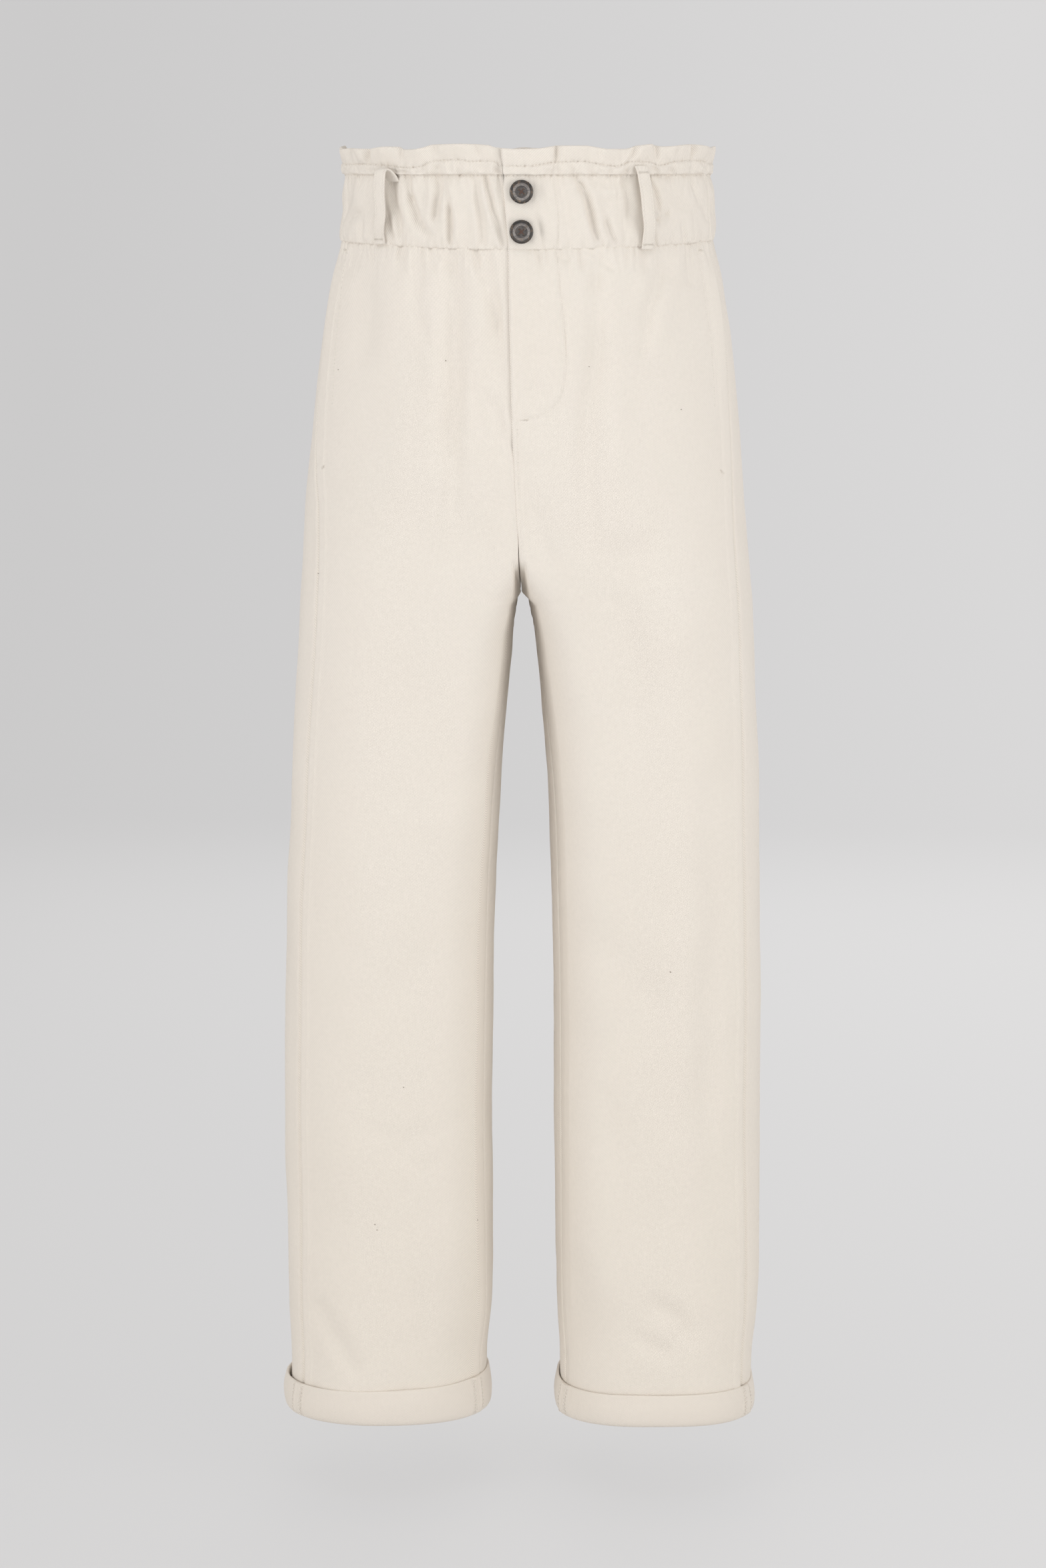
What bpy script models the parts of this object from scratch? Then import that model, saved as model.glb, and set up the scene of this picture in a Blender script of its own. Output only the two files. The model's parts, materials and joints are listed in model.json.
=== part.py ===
"""Paperbag waist trousers, standing open as if worn.

A gathered, elasticated high waist with a standing frill, a two-button placket over a mock fly, five belt loops,
pockets in the side seams, straight legs and turned-up cuffs.

Metres, +Z up. The front faces -Y and the wearer's left is +X. The origin is the centre of the waist ring, at the
middle height of the elastic casing.
"""

import math

import bmesh
import bpy
import numpy as np
from mathutils import Matrix

MM = 0.001

# ---------------------------------------------------------------- driving dimensions, in metres
CLOTH = 1.5 * MM  # one layer of heavy cotton twill, as a wall
CASING_CLOTH = 2.2 * MM  # two layers and the elastic between them
PLACKET_CLOTH = 3.0 * MM  # how thick each side of the buttoned placket counts where they lap
SEAM_GAP = 0.3 * MM
WAIST_SEAM = -28 * MM  # the casing's lower seam, at the centre front
SEAM_RISE = 5 * MM  # how much higher that seam lies at the sides
RISE_FADE = 80 * MM  # below the seam, the drop over which its rise has gone
SIDE_REACH = 147 * MM  # half the waist's width, where the rise is full
LOWER_STITCH_ROW = 27.2 * MM  # the gathering row that closes the casing
FRILL_BELLY = 40 * MM  # the frill stands out most here
FRILL_TOP = 48 * MM
HEM = -967 * MM
CUFF_TOP = -938.5 * MM
LEG_END = HEM + 2.8 * MM  # the leg tube ends inside the turned-up cuff
CROTCH = -300 * MM
FLY_FULL = -160 * MM  # the fly's under layer is full width down to here
FLY_END = -174 * MM  # and has tapered away here
FLY_FLAT = -192 * MM  # below this the two fronts meet edge to edge at one level

LAP = 10 * MM  # how far the under layer of the fly and placket runs beneath the upper one
LAP_EASE = 8 * MM  # the width over which a lapped edge settles back to the body's surface
PLACKET = 38 * MM  # the flat width of the button placket, from its edge to its stitching
PLACKET_FLATNESS = 0.7  # how much of the gathered casing's roundness the placket keeps

LOOP_WIDTH = 10.5 * MM
LOOP_CLOTH = 1.8 * MM

BUTTON_WIDTH = 18 * MM
BUTTON_THICK = 3.2 * MM
BUTTON_HOLE = 1.9 * MM
BUTTON_HOLE_PITCH = 4.0 * MM
BUTTON_HEIGHTS = (15.2 * MM, -14.9 * MM)
BUTTON_ACROSS = -1.2 * MM
BUTTON_FROM_EDGE = 12 * MM  # from the placket's edge to the buttons' middle

# ---------------------------------------------------------------- the body, as sections seen from above
# Each row is one height. outer_left and outer_right are the widths to the wearer's left and right of x = 0, front
# and back are depths, square is the roundness (2 is an ellipse). joined is 1 where both halves are one round and 0
# where they only touch, at the crotch. middle is where the halves meet, and lap_edge is where the front seam runs.
TORSO_COLUMNS = (
    "height", "outer_left", "outer_right", "front", "back", "square", "joined", "middle", "lap_edge",
)
TORSO = (
    (0.056, 0.1466, 0.1422, 0.0945, 0.0950, 2.15, 1.00, 0.0030, -0.0166),
    (0.030, 0.1463, 0.1392, 0.0940, 0.0950, 2.15, 1.00, 0.0030, -0.0158),
    (0.000, 0.1468, 0.1380, 0.0940, 0.0955, 2.15, 1.00, 0.0030, -0.0133),
    (-0.028, 0.1501, 0.1434, 0.0965, 0.0985, 2.17, 1.00, 0.0030, -0.0111),
    (-0.060, 0.1572, 0.1507, 0.1010, 0.1070, 2.20, 1.00, 0.0030, -0.0106),
    (-0.100, 0.1635, 0.1572, 0.1040, 0.1150, 2.22, 0.96, 0.0025, -0.0098),
    (-0.160, 0.1696, 0.1649, 0.1050, 0.1210, 2.25, 0.81, 0.0010, -0.0082),
    (-0.200, 0.1728, 0.1692, 0.1040, 0.1205, 2.28, 0.62, -0.0010, -0.0066),
    (-0.230, 0.1751, 0.1716, 0.1025, 0.1180, 2.30, 0.43, -0.0028, -0.0050),
    (-0.255, 0.1770, 0.1733, 0.1005, 0.1150, 2.31, 0.26, -0.0034, -0.0034),
    (-0.275, 0.1788, 0.1745, 0.0990, 0.1118, 2.32, 0.115, -0.0028, -0.0028),
    (-0.290, 0.1802, 0.1756, 0.0978, 0.1090, 2.32, 0.040, -0.0017, -0.0017),
    (CROTCH, 0.1812, 0.1762, 0.0970, 0.1070, 2.32, 0.010, -0.0010, -0.0010),
)
# Below the crotch each leg is its own tube. inner is where its round section would end, measured from x = 0 towards
# its side. gap is how far its inner face is kept from x = 0, which flattens the thighs just below the crotch.
LEG_COLUMNS = (
    "height", "outer_left", "inner_left", "gap_left", "outer_right", "inner_right", "gap_right", "front", "back",
    "square_left", "square_right",
)
LEGS = (
    (-0.302, 0.1814, -0.0010, 0.0028, 0.1763, -0.0010, 0.0028, 0.0968, 0.1065, 2.32, 2.32),
    (-0.310, 0.1820, 0.0014, 0.0047, 0.1767, 0.0010, 0.0043, 0.0962, 0.1050, 2.32, 2.32),
    (-0.325, 0.1828, 0.0058, 0.0078, 0.1773, 0.0046, 0.0066, 0.0950, 0.1026, 2.32, 2.32),
    (-0.350, 0.1838, 0.0108, 0.0108, 0.1787, 0.0088, 0.0088, 0.0930, 0.0993, 2.32, 2.32),
    (-0.414, 0.1871, 0.0171, 0.0171, 0.1830, 0.0144, 0.0144, 0.0890, 0.0930, 2.32, 2.32),
    (-0.480, 0.1889, 0.0213, 0.0213, 0.1859, 0.0187, 0.0187, 0.0860, 0.0890, 2.32, 2.32),
    (-0.544, 0.1902, 0.0231, 0.0231, 0.1895, 0.0220, 0.0220, 0.0830, 0.0860, 2.30, 2.30),
    (-0.632, 0.1916, 0.0248, 0.0248, 0.1913, 0.0240, 0.0240, 0.0790, 0.0820, 2.28, 2.28),
    (-0.720, 0.1912, 0.0252, 0.0252, 0.1926, 0.0252, 0.0252, 0.0755, 0.0785, 2.28, 2.26),
    (-0.810, 0.1924, 0.0264, 0.0264, 0.1914, 0.0246, 0.0246, 0.0725, 0.0755, 2.32, 2.23),
    (-0.877, 0.1910, 0.0280, 0.0280, 0.1909, 0.0250, 0.0250, 0.0705, 0.0735, 2.45, 2.23),
    (-0.922, 0.1868, 0.0304, 0.0304, 0.1892, 0.0295, 0.0295, 0.0690, 0.0720, 2.62, 2.22),
    (-0.970, 0.1845, 0.0304, 0.0304, 0.1908, 0.0306, 0.0306, 0.0675, 0.0705, 2.72, 2.20),
)
# The side seams and inseams run on the front of the leg: how far inside the outline they lie, seen from the front.
SEAM_COLUMNS = ("height", "side_left", "side_right", "inseam_left", "inseam_right")
SEAMS = (
    (0.056, 0.0040, 0.0015, 0.0000, 0.0000),
    (-0.028, 0.0055, 0.0015, 0.0000, 0.0000),
    (-0.090, 0.0070, 0.0020, 0.0000, 0.0000),
    (-0.140, 0.0085, 0.0035, 0.0000, 0.0000),
    (-0.200, 0.0097, 0.0075, 0.0000, 0.0000),
    (-0.230, 0.0112, 0.0120, 0.0000, 0.0000),
    (CROTCH, 0.0130, 0.0152, 0.0000, 0.0000),
    (-0.350, 0.0136, 0.0148, 0.0015, 0.0020),
    (-0.470, 0.0148, 0.0140, 0.0048, 0.0062),
    (-0.740, 0.0144, 0.0138, 0.0052, 0.0062),
    (-0.890, 0.0115, 0.0120, 0.0040, 0.0048),
    (-0.970, 0.0070, 0.0115, 0.0045, 0.0050),
)

# ---------------------------------------------------------------- the waist
# The casing's and frill's profile, going up: how far the cloth stands out, and how much of the gathers' creases, of
# the roll between the stitch rows and of the frill's waves is felt there.
PROFILE_COLUMNS = ("height", "out", "crease", "roll", "wave")
PROFILE = (
    (-28.0, 0.0, 0.35, 0.0, 0.0),
    (-24.5, 1.5, 0.90, 0.0, 0.0),
    (-14.0, 2.5, 1.00, 0.0, 0.0),
    (2.0, 2.6, 1.00, 0.0, 0.0),
    (16.0, 2.0, 1.00, 0.0, 0.0),
    (24.0, 0.8, 0.80, 0.0, 0.0),
    (27.2, 0.0, 0.45, 0.0, 0.0),
    (28.6, 0.6, 0.20, 0.8, 0.0),
    (31.4, 0.9, 0.20, 1.0, 0.05),
    (34.4, 0.9, 0.20, 0.1, 0.10),
    (40.0, 3.0, 0.05, 0.0, 0.55),
    (48.0, 0.9, 0.00, 0.0, 1.00),
)
ROLL_OUT = 2.2 * MM
ROLL_PINCHES = (0.35, 0.31)  # how much of the roll its pinches take away, and how closely they follow, per mm

# Creases of the gathered casing: across (seen from the front, in mm), its slant from top to bottom, depth and width.
CREASE_COLUMNS = ("across", "slant", "depth", "width")
CREASES_RIGHT = (  # the wearer's right front
    (-133, -2.0, 1.3, 3.0), (-121, 1.0, 0.8, 2.6), (-112, 2.0, 0.5, 2.4), (-100, 4.0, 1.3, 2.8),
    (-87, 4.0, 1.5, 3.2), (-76, 4.0, 0.8, 2.4), (-66, -6.0, 1.5, 3.0), (-57, 4.0, 1.1, 2.8),
    (-46, 2.0, 0.8, 3.4), (-35, 2.0, 1.5, 3.2), (-28, 2.0, 0.7, 2.4), (-21, 2.0, 1.1, 2.6),
)
CREASES_LEFT = (  # the wearer's left front; the placket before them lies flat
    (11, 5.0, 0.8, 3.2), (28, 0.0, 0.9, 2.6), (36, 2.0, 0.9, 3.0), (50, 9.0, 1.7, 3.2),
    (66, 4.0, 1.0, 2.8), (80, 2.0, 0.9, 3.0), (93, 2.0, 0.5, 2.4), (103, 4.0, 1.2, 2.8),
    (112, -6.0, 0.9, 2.8), (121, 2.0, 0.9, 2.6), (130, 2.0, 1.1, 2.6), (139, 3.0, 1.2, 2.4),
)
BACK_CREASES = 26
BACK_CREASE_SLANT = 2.5
BACK_CREASE_DEPTH = 1.15
BACK_CREASE_WIDTH = 3.3

# Waves of the frill's free edge: across, how far it leans out, how far it rises, and the wave's half width, in mm.
WAVE_COLUMNS = ("across", "lean", "rise", "width")
WAVES_RIGHT = (
    (-138, 0.4, -1.6, 7.0), (-122, 1.6, 0.6, 8.0), (-106, 1.9, 0.9, 9.0), (-97, -1.6, -1.6, 4.5),
    (-82, 1.2, -0.4, 8.0), (-62, 1.5, 2.2, 9.0), (-42, 1.9, 3.2, 12.0), (-27, -1.4, 1.2, 5.0),
)
WAVES_LEFT = (
    (4, 0.6, -0.8, 12.0), (24, -1.5, -0.4, 4.5), (40, 1.6, 1.2, 12.0), (58, 1.0, 0.4, 9.0),
    (74, -1.9, -1.0, 6.0), (92, 1.8, 2.8, 10.0), (103, -1.7, 0.6, 4.5), (115, 1.9, 2.0, 8.0),
    (128, -1.0, 1.4, 4.0), (138, 0.4, -0.2, 7.0),
)
BACK_WAVES = 18
BACK_WAVE_LEAN = 1.5
BACK_WAVE_RISE = 1.5
BACK_WAVE_WIDTH = 8.0
BACK_WAVE_DROP = 1.5  # the frill's back edge stands this much lower than its front, in mm

# ---------------------------------------------------------------- folds of the panels
# Soft troughs (depth above 0) and ridges (below 0) that fall from the gathers: where they start across the panel as a
# share of its width, the drift of that share by their end, start and end heights, depth and half width in mm.
FOLD_COLUMNS = ("share", "drift", "top", "bottom", "depth", "width")
FRONT_RIGHT_FOLDS = (
    (0.10, -0.06, -20, -55, 1.2, 4.5), (0.17, -0.10, -20, -150, 2.2, 8.0), (0.27, 0.00, -20, -60, 1.1, 4.5),
    (0.345, 0.02, -20, -235, 2.6, 8.5), (0.43, 0.00, -20, -55, 1.2, 4.5), (0.53, 0.02, -20, -80, 2.0, 6.5),
    (0.61, 0.00, -20, -50, 1.2, 5.0), (0.76, 0.05, -20, -160, 1.5, 9.0), (0.55, -0.05, -260, -620, 1.2, 16.0),
    (0.30, 0.04, -560, -900, 1.3, 17.0), (0.72, -0.02, -650, -940, 1.1, 15.0), (0.45, 0.02, -905, -965, 1.5, 14.0),
)
FRONT_LEFT_FOLDS = (
    (0.28, 0.00, -20, -55, 1.0, 4.5), (0.34, 0.02, -20, -70, 1.1, 5.0), (0.46, 0.03, -20, -215, 2.4, 9.0),
    (0.56, 0.00, -20, -60, 1.2, 5.0), (0.71, -0.10, -30, -120, 1.9, 7.0), (0.84, 0.03, -60, -220, 1.0, 10.0),
    (0.58, 0.04, -260, -600, 1.2, 16.0), (0.28, 0.03, -520, -880, 1.2, 17.0), (0.74, 0.00, -620, -940, 1.2, 15.0),
    (0.62, -0.04, -900, -965, 1.9, 13.0),
)
BACK_FOLDS = (  # from the centre back, share 1, to the side seam, share 0
    (0.92, 0.02, -20, -85, 1.8, 6.5), (0.84, 0.00, -20, -60, 1.2, 5.0), (0.75, -0.02, -20, -135, 2.2, 8.0),
    (0.66, 0.00, -20, -60, 1.2, 5.0), (0.56, 0.01, -20, -110, 2.0, 7.5), (0.45, 0.00, -20, -65, 1.3, 5.5),
    (0.34, 0.02, -20, -125, 1.9, 8.0), (0.22, 0.00, -20, -70, 1.3, 6.0), (0.10, 0.02, -20, -95, 1.3, 6.5),
    (0.80, -0.10, -245, -330, 2.4, 10.0), (0.70, -0.14, -275, -420, 1.8, 11.0), (0.42, 0.05, -360, -700, 1.6, 16.0),
    (0.66, -0.04, -480, -880, 1.5, 17.0), (0.25, 0.02, -600, -930, 1.3, 15.0), (0.52, 0.00, -895, -965, 1.8, 14.0),
)

# Pocket mouths in the side seams: between these heights the front edge stands back from the seam and gapes.
MOUTH_COLUMNS = ("height", "back_left", "out_left", "back_right", "out_right")
MOUTH = (  # how far the front edge stands back from the seam, and stands out, on each side
    (0.000, 0.3, 0.0, 0.3, 0.0),
    (-0.031, 0.4, 0.2, 0.4, 0.2),
    (-0.050, 3.2, 1.6, 2.0, 0.9),
    (-0.080, 3.4, 2.0, 2.0, 1.0),
    (-0.110, 1.6, 1.2, 1.2, 0.8),
    (-0.150, 0.8, 0.5, 0.8, 0.4),
    (-0.190, 0.3, 0.0, 0.3, 0.0),
    (-0.980, 0.3, 0.0, 0.3, 0.0),
)

MOUTH_REACH = 18 * MM  # how far from the seam the front stands out with the mouth's edge

# Heights of the panels' rows of points, closest together at the gathers and round the crotch.
ROW_HEIGHTS = (
    -0.0280, -0.0345, -0.0440, -0.0580, -0.0780, -0.1040, -0.1320, FLY_FULL, FLY_END, FLY_FLAT, -0.2170, -0.2400,
    -0.2600, -0.2760, -0.2880, -0.2950, CROTCH, -0.3060, -0.3180, -0.3400, -0.3750, -0.4250, -0.4900, -0.5700,
    -0.6600, -0.7600, -0.8450, -0.9040, CUFF_TOP - 2 * MM, LEG_END,
)
FRONT_COLUMNS = 16
BACK_COLUMNS = 19
CASING_STEP = 4.1 * MM
BACK_CASING_STEP = 5.6 * MM

# Belt loops: where each stands across the ring and on which face, and how far its two ends stand off the smooth
# outline, in mm, to lie on the gathered cloth there.
LOOP_COLUMNS = ("name", "across", "face", "top", "foot")
LOOPS = (
    ("belt_loop_front_right", -0.1095, "front", 0.6, 0.6),
    ("belt_loop_front_left", 0.0940, "front", 0.6, 0.6),
    ("belt_loop_back_right", -0.0880, "back", 0.55, -0.05),
    ("belt_loop_back_left", 0.0940, "back", 0.6, 0.2),
    ("belt_loop_back_centre", 0.0030, "back", 0.6, 0.45),
)
# A loop's path from top to foot, in mm: height, how far its inner face stands off the outline, how much of its top's
# and foot's own stand-off is added, and its side shift.
LOOP_PATH_COLUMNS = ("height", "off", "top", "foot", "shift")
LOOP_PATH = (
    (26.2, 0.0, 1.0, 0.0, 4.5), (24.6, 3.8, 0.5, 0.0, 4.0), (20.5, 7.6, 0.0, 0.0, 2.6), (13.0, 9.3, 0.0, 0.0, 1.2),
    (0.0, 9.8, 0.0, 0.0, 0.2), (-13.0, 9.3, 0.0, 0.0, 0.0), (-20.5, 7.6, 0.0, 0.0, 0.0), (-25.2, 4.2, 0.0, 0.3, 0.0),
    (-28.4, 0.5, 0.0, 1.0, 0.0), (-33.0, 0.0, 0.0, 1.0, 0.0), (-36.5, 0.0, 0.0, 1.0, 0.0),
)

# A cuff's cross-section, going round it: how far out from the leg's outer face, how far up from the hem in mm, and
# how much of the cuff's own differences in height that point takes: 1 at its upper edge, 0 at the hem.
CUFF_COLUMNS = ("out", "up", "top")
CUFF_SECTION = (
    (-1.5, 0.6, 0.0), (0.8, 0.0, 0.0), (3.0, 1.2, 0.0), (4.4, 5.0, 0.0), (4.8, 13.0, 0.3), (3.9, 24.0, 1.0),
    (2.9, 28.0, 1.0), (1.4, 26.8, 1.0), (1.9, 14.0, 0.3), (0.8, 2.2, 0.0), (-1.5, 2.0, 0.0),
)
# For each side: how much lower the whole cuff and its upper edge hang, and how much higher the edge is at the inseam.
CUFFS = {
    1: {"drop": 0.5 * MM, "top_drop": 2.0 * MM, "tilt": 0.0},
    -1: {"drop": -0.4 * MM, "top_drop": -0.7 * MM, "tilt": 2.6 * MM},
}
ALLOWANCE_WIDTH = 10 * MM  # the overlocked seam allowances that the turned cuff shows
ALLOWANCE_STEP = 0.8 * MM

OUTLINE_POINTS = 541
PARTING_TOP = -0.25  # from here down to the crotch the halves are kept apart along the middle
CROTCH_ZONE = (-0.235, -0.350)  # between these heights the panels' columns are led past the crotch

COLOURS = {  # base colour and roughness
    "ecru_twill": ((0.83, 0.77, 0.69, 1.0), 0.9),
    "ecru_wrong_side": ((0.78, 0.71, 0.62, 1.0), 0.92),
    "horn": ((0.12, 0.10, 0.09, 1.0), 0.35),
}


# ---------------------------------------------------------------- reading the tables
def columns(names, rows):
    """A table's rows as one array for each named column, ordered by rising first column."""
    values = np.array(rows, float)
    values = values[np.argsort(values[:, 0])]
    return {name: values[:, i] for i, name in enumerate(names)}


def named(names, rows):
    """A table's rows with a name for each value."""
    return [dict(zip(names, row)) for row in rows]


def flowing(places, values, at):
    """The value at `at` on the smooth curve through (places, values), which never overshoots its rows."""
    step = np.diff(places)
    slope = np.diff(values) / step
    lean = np.zeros(len(places))
    before, after = slope[:-1], slope[1:]
    same = before * after > 0
    near = (2 * step[1:] + step[:-1])[same]
    far = (step[1:] + 2 * step[:-1])[same]
    lean[1:-1][same] = (near + far) / (near / before[same] + far / after[same])
    lean[0], lean[-1] = slope[0], slope[-1]
    i = int(np.clip(np.searchsorted(places, at) - 1, 0, len(step) - 1))
    t = float(np.clip((at - places[i]) / step[i], 0.0, 1.0))
    return (
        values[i] * (2 * t**3 - 3 * t**2 + 1)
        + values[i + 1] * (3 * t**2 - 2 * t**3)
        + step[i] * (lean[i] * (t**3 - 2 * t**2 + t) + lean[i + 1] * (t**3 - t**2))
    )


def ease(value):
    """0 to 1, starting and ending softly."""
    value = min(max(value, 0.0), 1.0)
    return value * value * (3 - 2 * value)


def body_table():
    """Torso and leg rows as one table, where the legs' inner faces are turned into a joined share below 0."""
    torso = named(TORSO_COLUMNS, TORSO)
    rows = []
    for row in torso:
        for side in ("left", "right"):
            row["joined_" + side] = row["joined"]
            row["square_" + side] = row["square"]
            row["gap_" + side] = 0.0
        rows.append(row)
    for row in named(LEG_COLUMNS, LEGS):
        for side in ("left", "right"):
            row["joined_" + side] = -row["inner_" + side] / row["outer_" + side]
        row["middle"] = row["lap_edge"] = 0.0
        rows.append(row)
    rows.sort(key=lambda row: row["height"])
    names = [word + side for word in ("outer_", "joined_", "square_", "gap_") for side in ("left", "right")]
    names += ["height", "front", "back", "middle", "lap_edge"]
    return {name: np.array([row[name] for row in rows]) for name in names}


BODY = body_table()
SEAM_LINES = columns(SEAM_COLUMNS, SEAMS)
MOUTHS = columns(MOUTH_COLUMNS, MOUTH)
PROFILE_TABLE = columns(PROFILE_COLUMNS, PROFILE)


def read(table, name, height):
    return flowing(table["height"], table[name], height)


# ---------------------------------------------------------------- the body's outline at one height
def half_loop(side, height):
    """One half of the torso or one leg seen from above: front middle, round the outer side, to the back middle."""
    word = "left" if side > 0 else "right"
    middle = read(BODY, "middle", height)
    reach = read(BODY, "outer_" + word, height) - side * middle
    inner = -read(BODY, "joined_" + word, height) * reach
    centre = (reach + inner) / 2
    half = (reach - inner) / 2
    square = read(BODY, "square_" + word, height)
    is_leg = height < CROTCH + 1e-6
    turn = math.pi if is_leg else math.acos(-((centre / half) ** (square / 2)))
    angle = np.linspace(-turn, turn, OUTLINE_POINTS)
    power = 2 / square
    across = centre + half * np.sign(np.cos(angle)) * np.abs(np.cos(angle)) ** power
    if is_leg:
        gap = max(read(BODY, "gap_" + word, height), SEAM_GAP / 2)
        soft = 1.2 * max(gap - inner, 0.0)
        across = (across + gap + np.sqrt((across - gap) ** 2 + soft**2)) / 2
    else:
        across = np.maximum(across, 0.0)
    depth = np.where(angle < 0, read(BODY, "front", height), read(BODY, "back", height))
    along = depth * np.sign(np.sin(angle)) * np.abs(np.sin(angle)) ** power
    return np.column_stack([middle + side * across, along])


def lengths(points):
    """The distance along a row of points, at each point."""
    return np.concatenate([[0.0], np.cumsum(np.linalg.norm(np.diff(points, axis=0), axis=1))])


def stretch(points, start, end):
    """The part of a row of points between two distances along it."""
    along = lengths(points)
    inside = (along > start + 1e-7) & (along < end - 1e-7)
    ends = [[np.interp(s, along, points[:, k]) for k in (0, 1)] for s in (start, end)]
    return np.vstack([ends[0], points[inside], ends[1]])


def where_across(points, across, side):
    """The distance along the front of a half loop at which it reaches `across`, going outwards."""
    front = points[: int(np.argmax(side * points[:, 0])) + 1]
    return float(np.interp(side * across, side * front[:, 0], lengths(front)))


OUTLINES = {}


def outline(side, height):
    """The half's points from its front edge to its back edge, and the distance along them of the side seam."""
    key = (side, round(height, 7))
    if key not in OUTLINES:
        OUTLINES[key] = make_outline(side, height)
    return OUTLINES[key]


def make_outline(side, height):
    word = "left" if side > 0 else "right"
    points = half_loop(side, height)
    total = lengths(points)[-1]
    if height > CROTCH + 1e-6:
        edge = read(BODY, "lap_edge", height)
        middle = read(BODY, "middle", height)
        if side < 0:
            points = stretch(points, where_across(points, edge, side), total)
        elif middle - edge > 1e-5:
            other = half_loop(-side, height)
            strip = stretch(other, 0.0, where_across(other, edge, -side))
            points = np.vstack([strip[::-1], points[1:]])
    elif height < CROTCH - 1e-6:
        inset = read(SEAM_LINES, "inseam_" + word, height)
        if inset > 1e-6:
            start = where_across(points, points[0, 0] + side * inset, side)
            points = np.vstack([stretch(points, start, total), stretch(points, 0.0, start)[1:]])
    outer = side * (np.max(side * points[:, 0]) - read(SEAM_LINES, "side_" + word, height))
    return points, where_across(points, outer, side)


def on_outline(side, distance, height):
    """The point and the outward direction at a distance along the outline, which may run past its front edge."""
    points, _ = outline(side, height)
    if distance < 0:
        other, _ = outline(-side, height)
        along = lengths(other)
        spot = np.array([np.interp(-distance, along, other[:, k]) for k in (0, 1)])
        nearby = np.array([np.interp(-distance + MM, along, other[:, k]) for k in (0, 1)])
        ahead = spot - nearby
    else:
        along = lengths(points)
        spot = np.array([np.interp(distance, along, points[:, k]) for k in (0, 1)])
        low, high = max(distance - MM, 0.0), min(distance + MM, along[-1])
        ahead = np.array([np.interp(high, along, points[:, k]) - np.interp(low, along, points[:, k]) for k in (0, 1)])
    ahead /= np.linalg.norm(ahead)
    outward = side * np.array([ahead[1], -ahead[0]])
    return spot, outward


def seam_rise(across, height):
    """How much higher a row lies at the sides: all of it at the waist seam, none at the stitch row or the hips."""
    share = (across / SIDE_REACH) ** 2
    if height > WAIST_SEAM:
        fade = 1 - ease((height - WAIST_SEAM) / (LOWER_STITCH_ROW - WAIST_SEAM))
    else:
        fade = 1 - ease((WAIST_SEAM - height) / RISE_FADE)
    return SEAM_RISE * share * fade


# ---------------------------------------------------------------- walls from grids of points
def turned_normals(grid, side):
    """The outward direction at each point of a grid of rows and columns."""
    down = np.gradient(grid, axis=0)
    across = np.gradient(grid, axis=1)
    normal = side * np.cross(down, across)
    return normal / np.linalg.norm(normal, axis=2, keepdims=True)


def new_object(name, vertices, faces, material):
    mesh = bpy.data.meshes.new(name)
    mesh.from_pydata([tuple(map(float, v)) for v in vertices], [], faces)
    mesh.validate()
    work = bmesh.new()
    work.from_mesh(mesh)
    bmesh.ops.recalc_face_normals(work, faces=work.faces)
    work.to_mesh(mesh)
    work.free()
    mesh.shade_smooth()
    mesh.set_sharp_from_angle(angle=math.radians(50))
    mesh.materials.append(material)
    made = bpy.data.objects.new(name, mesh)
    bpy.context.scene.collection.objects.link(made)
    return made


def grid_faces(rows, cols, first=0, closed=False):
    """Quads of a grid whose points are numbered row by row; closed joins the last column to the first."""
    faces = []
    for i in range(rows - 1):
        for j in range(cols if closed else cols - 1):
            k = (j + 1) % cols
            a, b = first + i * cols, first + (i + 1) * cols
            faces.append((a + j, a + k, b + k, b + j))
    return faces


def zipped(upper, lower):
    """Triangles that close the strip between two rows of point numbers, which may have different counts."""
    faces = []
    i = j = 0
    while i < len(upper) - 1 or j < len(lower) - 1:
        ahead = (i + 1) / max(len(upper) - 1, 1) <= (j + 1) / max(len(lower) - 1, 1)
        if j == len(lower) - 1 or (ahead and i < len(upper) - 1):
            faces.append((upper[i], upper[i + 1], lower[j]))
            i += 1
        else:
            faces.append((upper[i], lower[j + 1], lower[j]))
            j += 1
    return faces


def cloth_wall(name, outer, inner, material):
    """A closed wall between an outer and an inner grid. They share their columns, and may differ in rows."""
    rows, cols = outer.shape[:2]
    inner_rows = inner.shape[0]
    first = rows * cols
    vertices = np.vstack([outer.reshape(-1, 3), inner.reshape(-1, 3)])
    faces = grid_faces(rows, cols)
    faces += [face[::-1] for face in grid_faces(inner_rows, cols, first)]
    for outer_row, inner_row in ((0, 0), (rows - 1, inner_rows - 1)):
        top = [outer_row * cols + j for j in range(cols)]
        under = [first + inner_row * cols + j for j in range(cols)]
        faces += [(top[j], under[j], under[j + 1], top[j + 1]) for j in range(cols - 1)]
    for col in (0, cols - 1):
        over = [i * cols + col for i in range(rows)]
        under = [first + i * cols + col for i in range(inner_rows)]
        faces += zipped(over, under)
    return new_object(name, vertices, faces, material)


# ---------------------------------------------------------------- panels
def fold_depth(folds, share, width, height):
    """How far the folds push the cloth in at a share of the panel's width (in metres) and a height."""
    if height < CUFF_TOP:
        return 0.0
    depth = 0.0
    for fold in folds:
        top, bottom = fold["top"] * MM, fold["bottom"] * MM
        if not bottom < height < top:
            continue
        along = (top - height) / (top - bottom)
        rise = min(along / 0.12, 1.0) if top < WAIST_SEAM else 1.0
        fade = ease(rise) * (1 - ease((along - 0.25) / 0.75))
        away = (share - fold["share"] - fold["drift"] * along) * width / (fold["width"] * MM)
        depth += fold["depth"] * MM * fade * (math.exp(-away * away) - 0.35 * math.exp(-((abs(away) - 2.1) ** 2)))
    return depth


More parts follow.
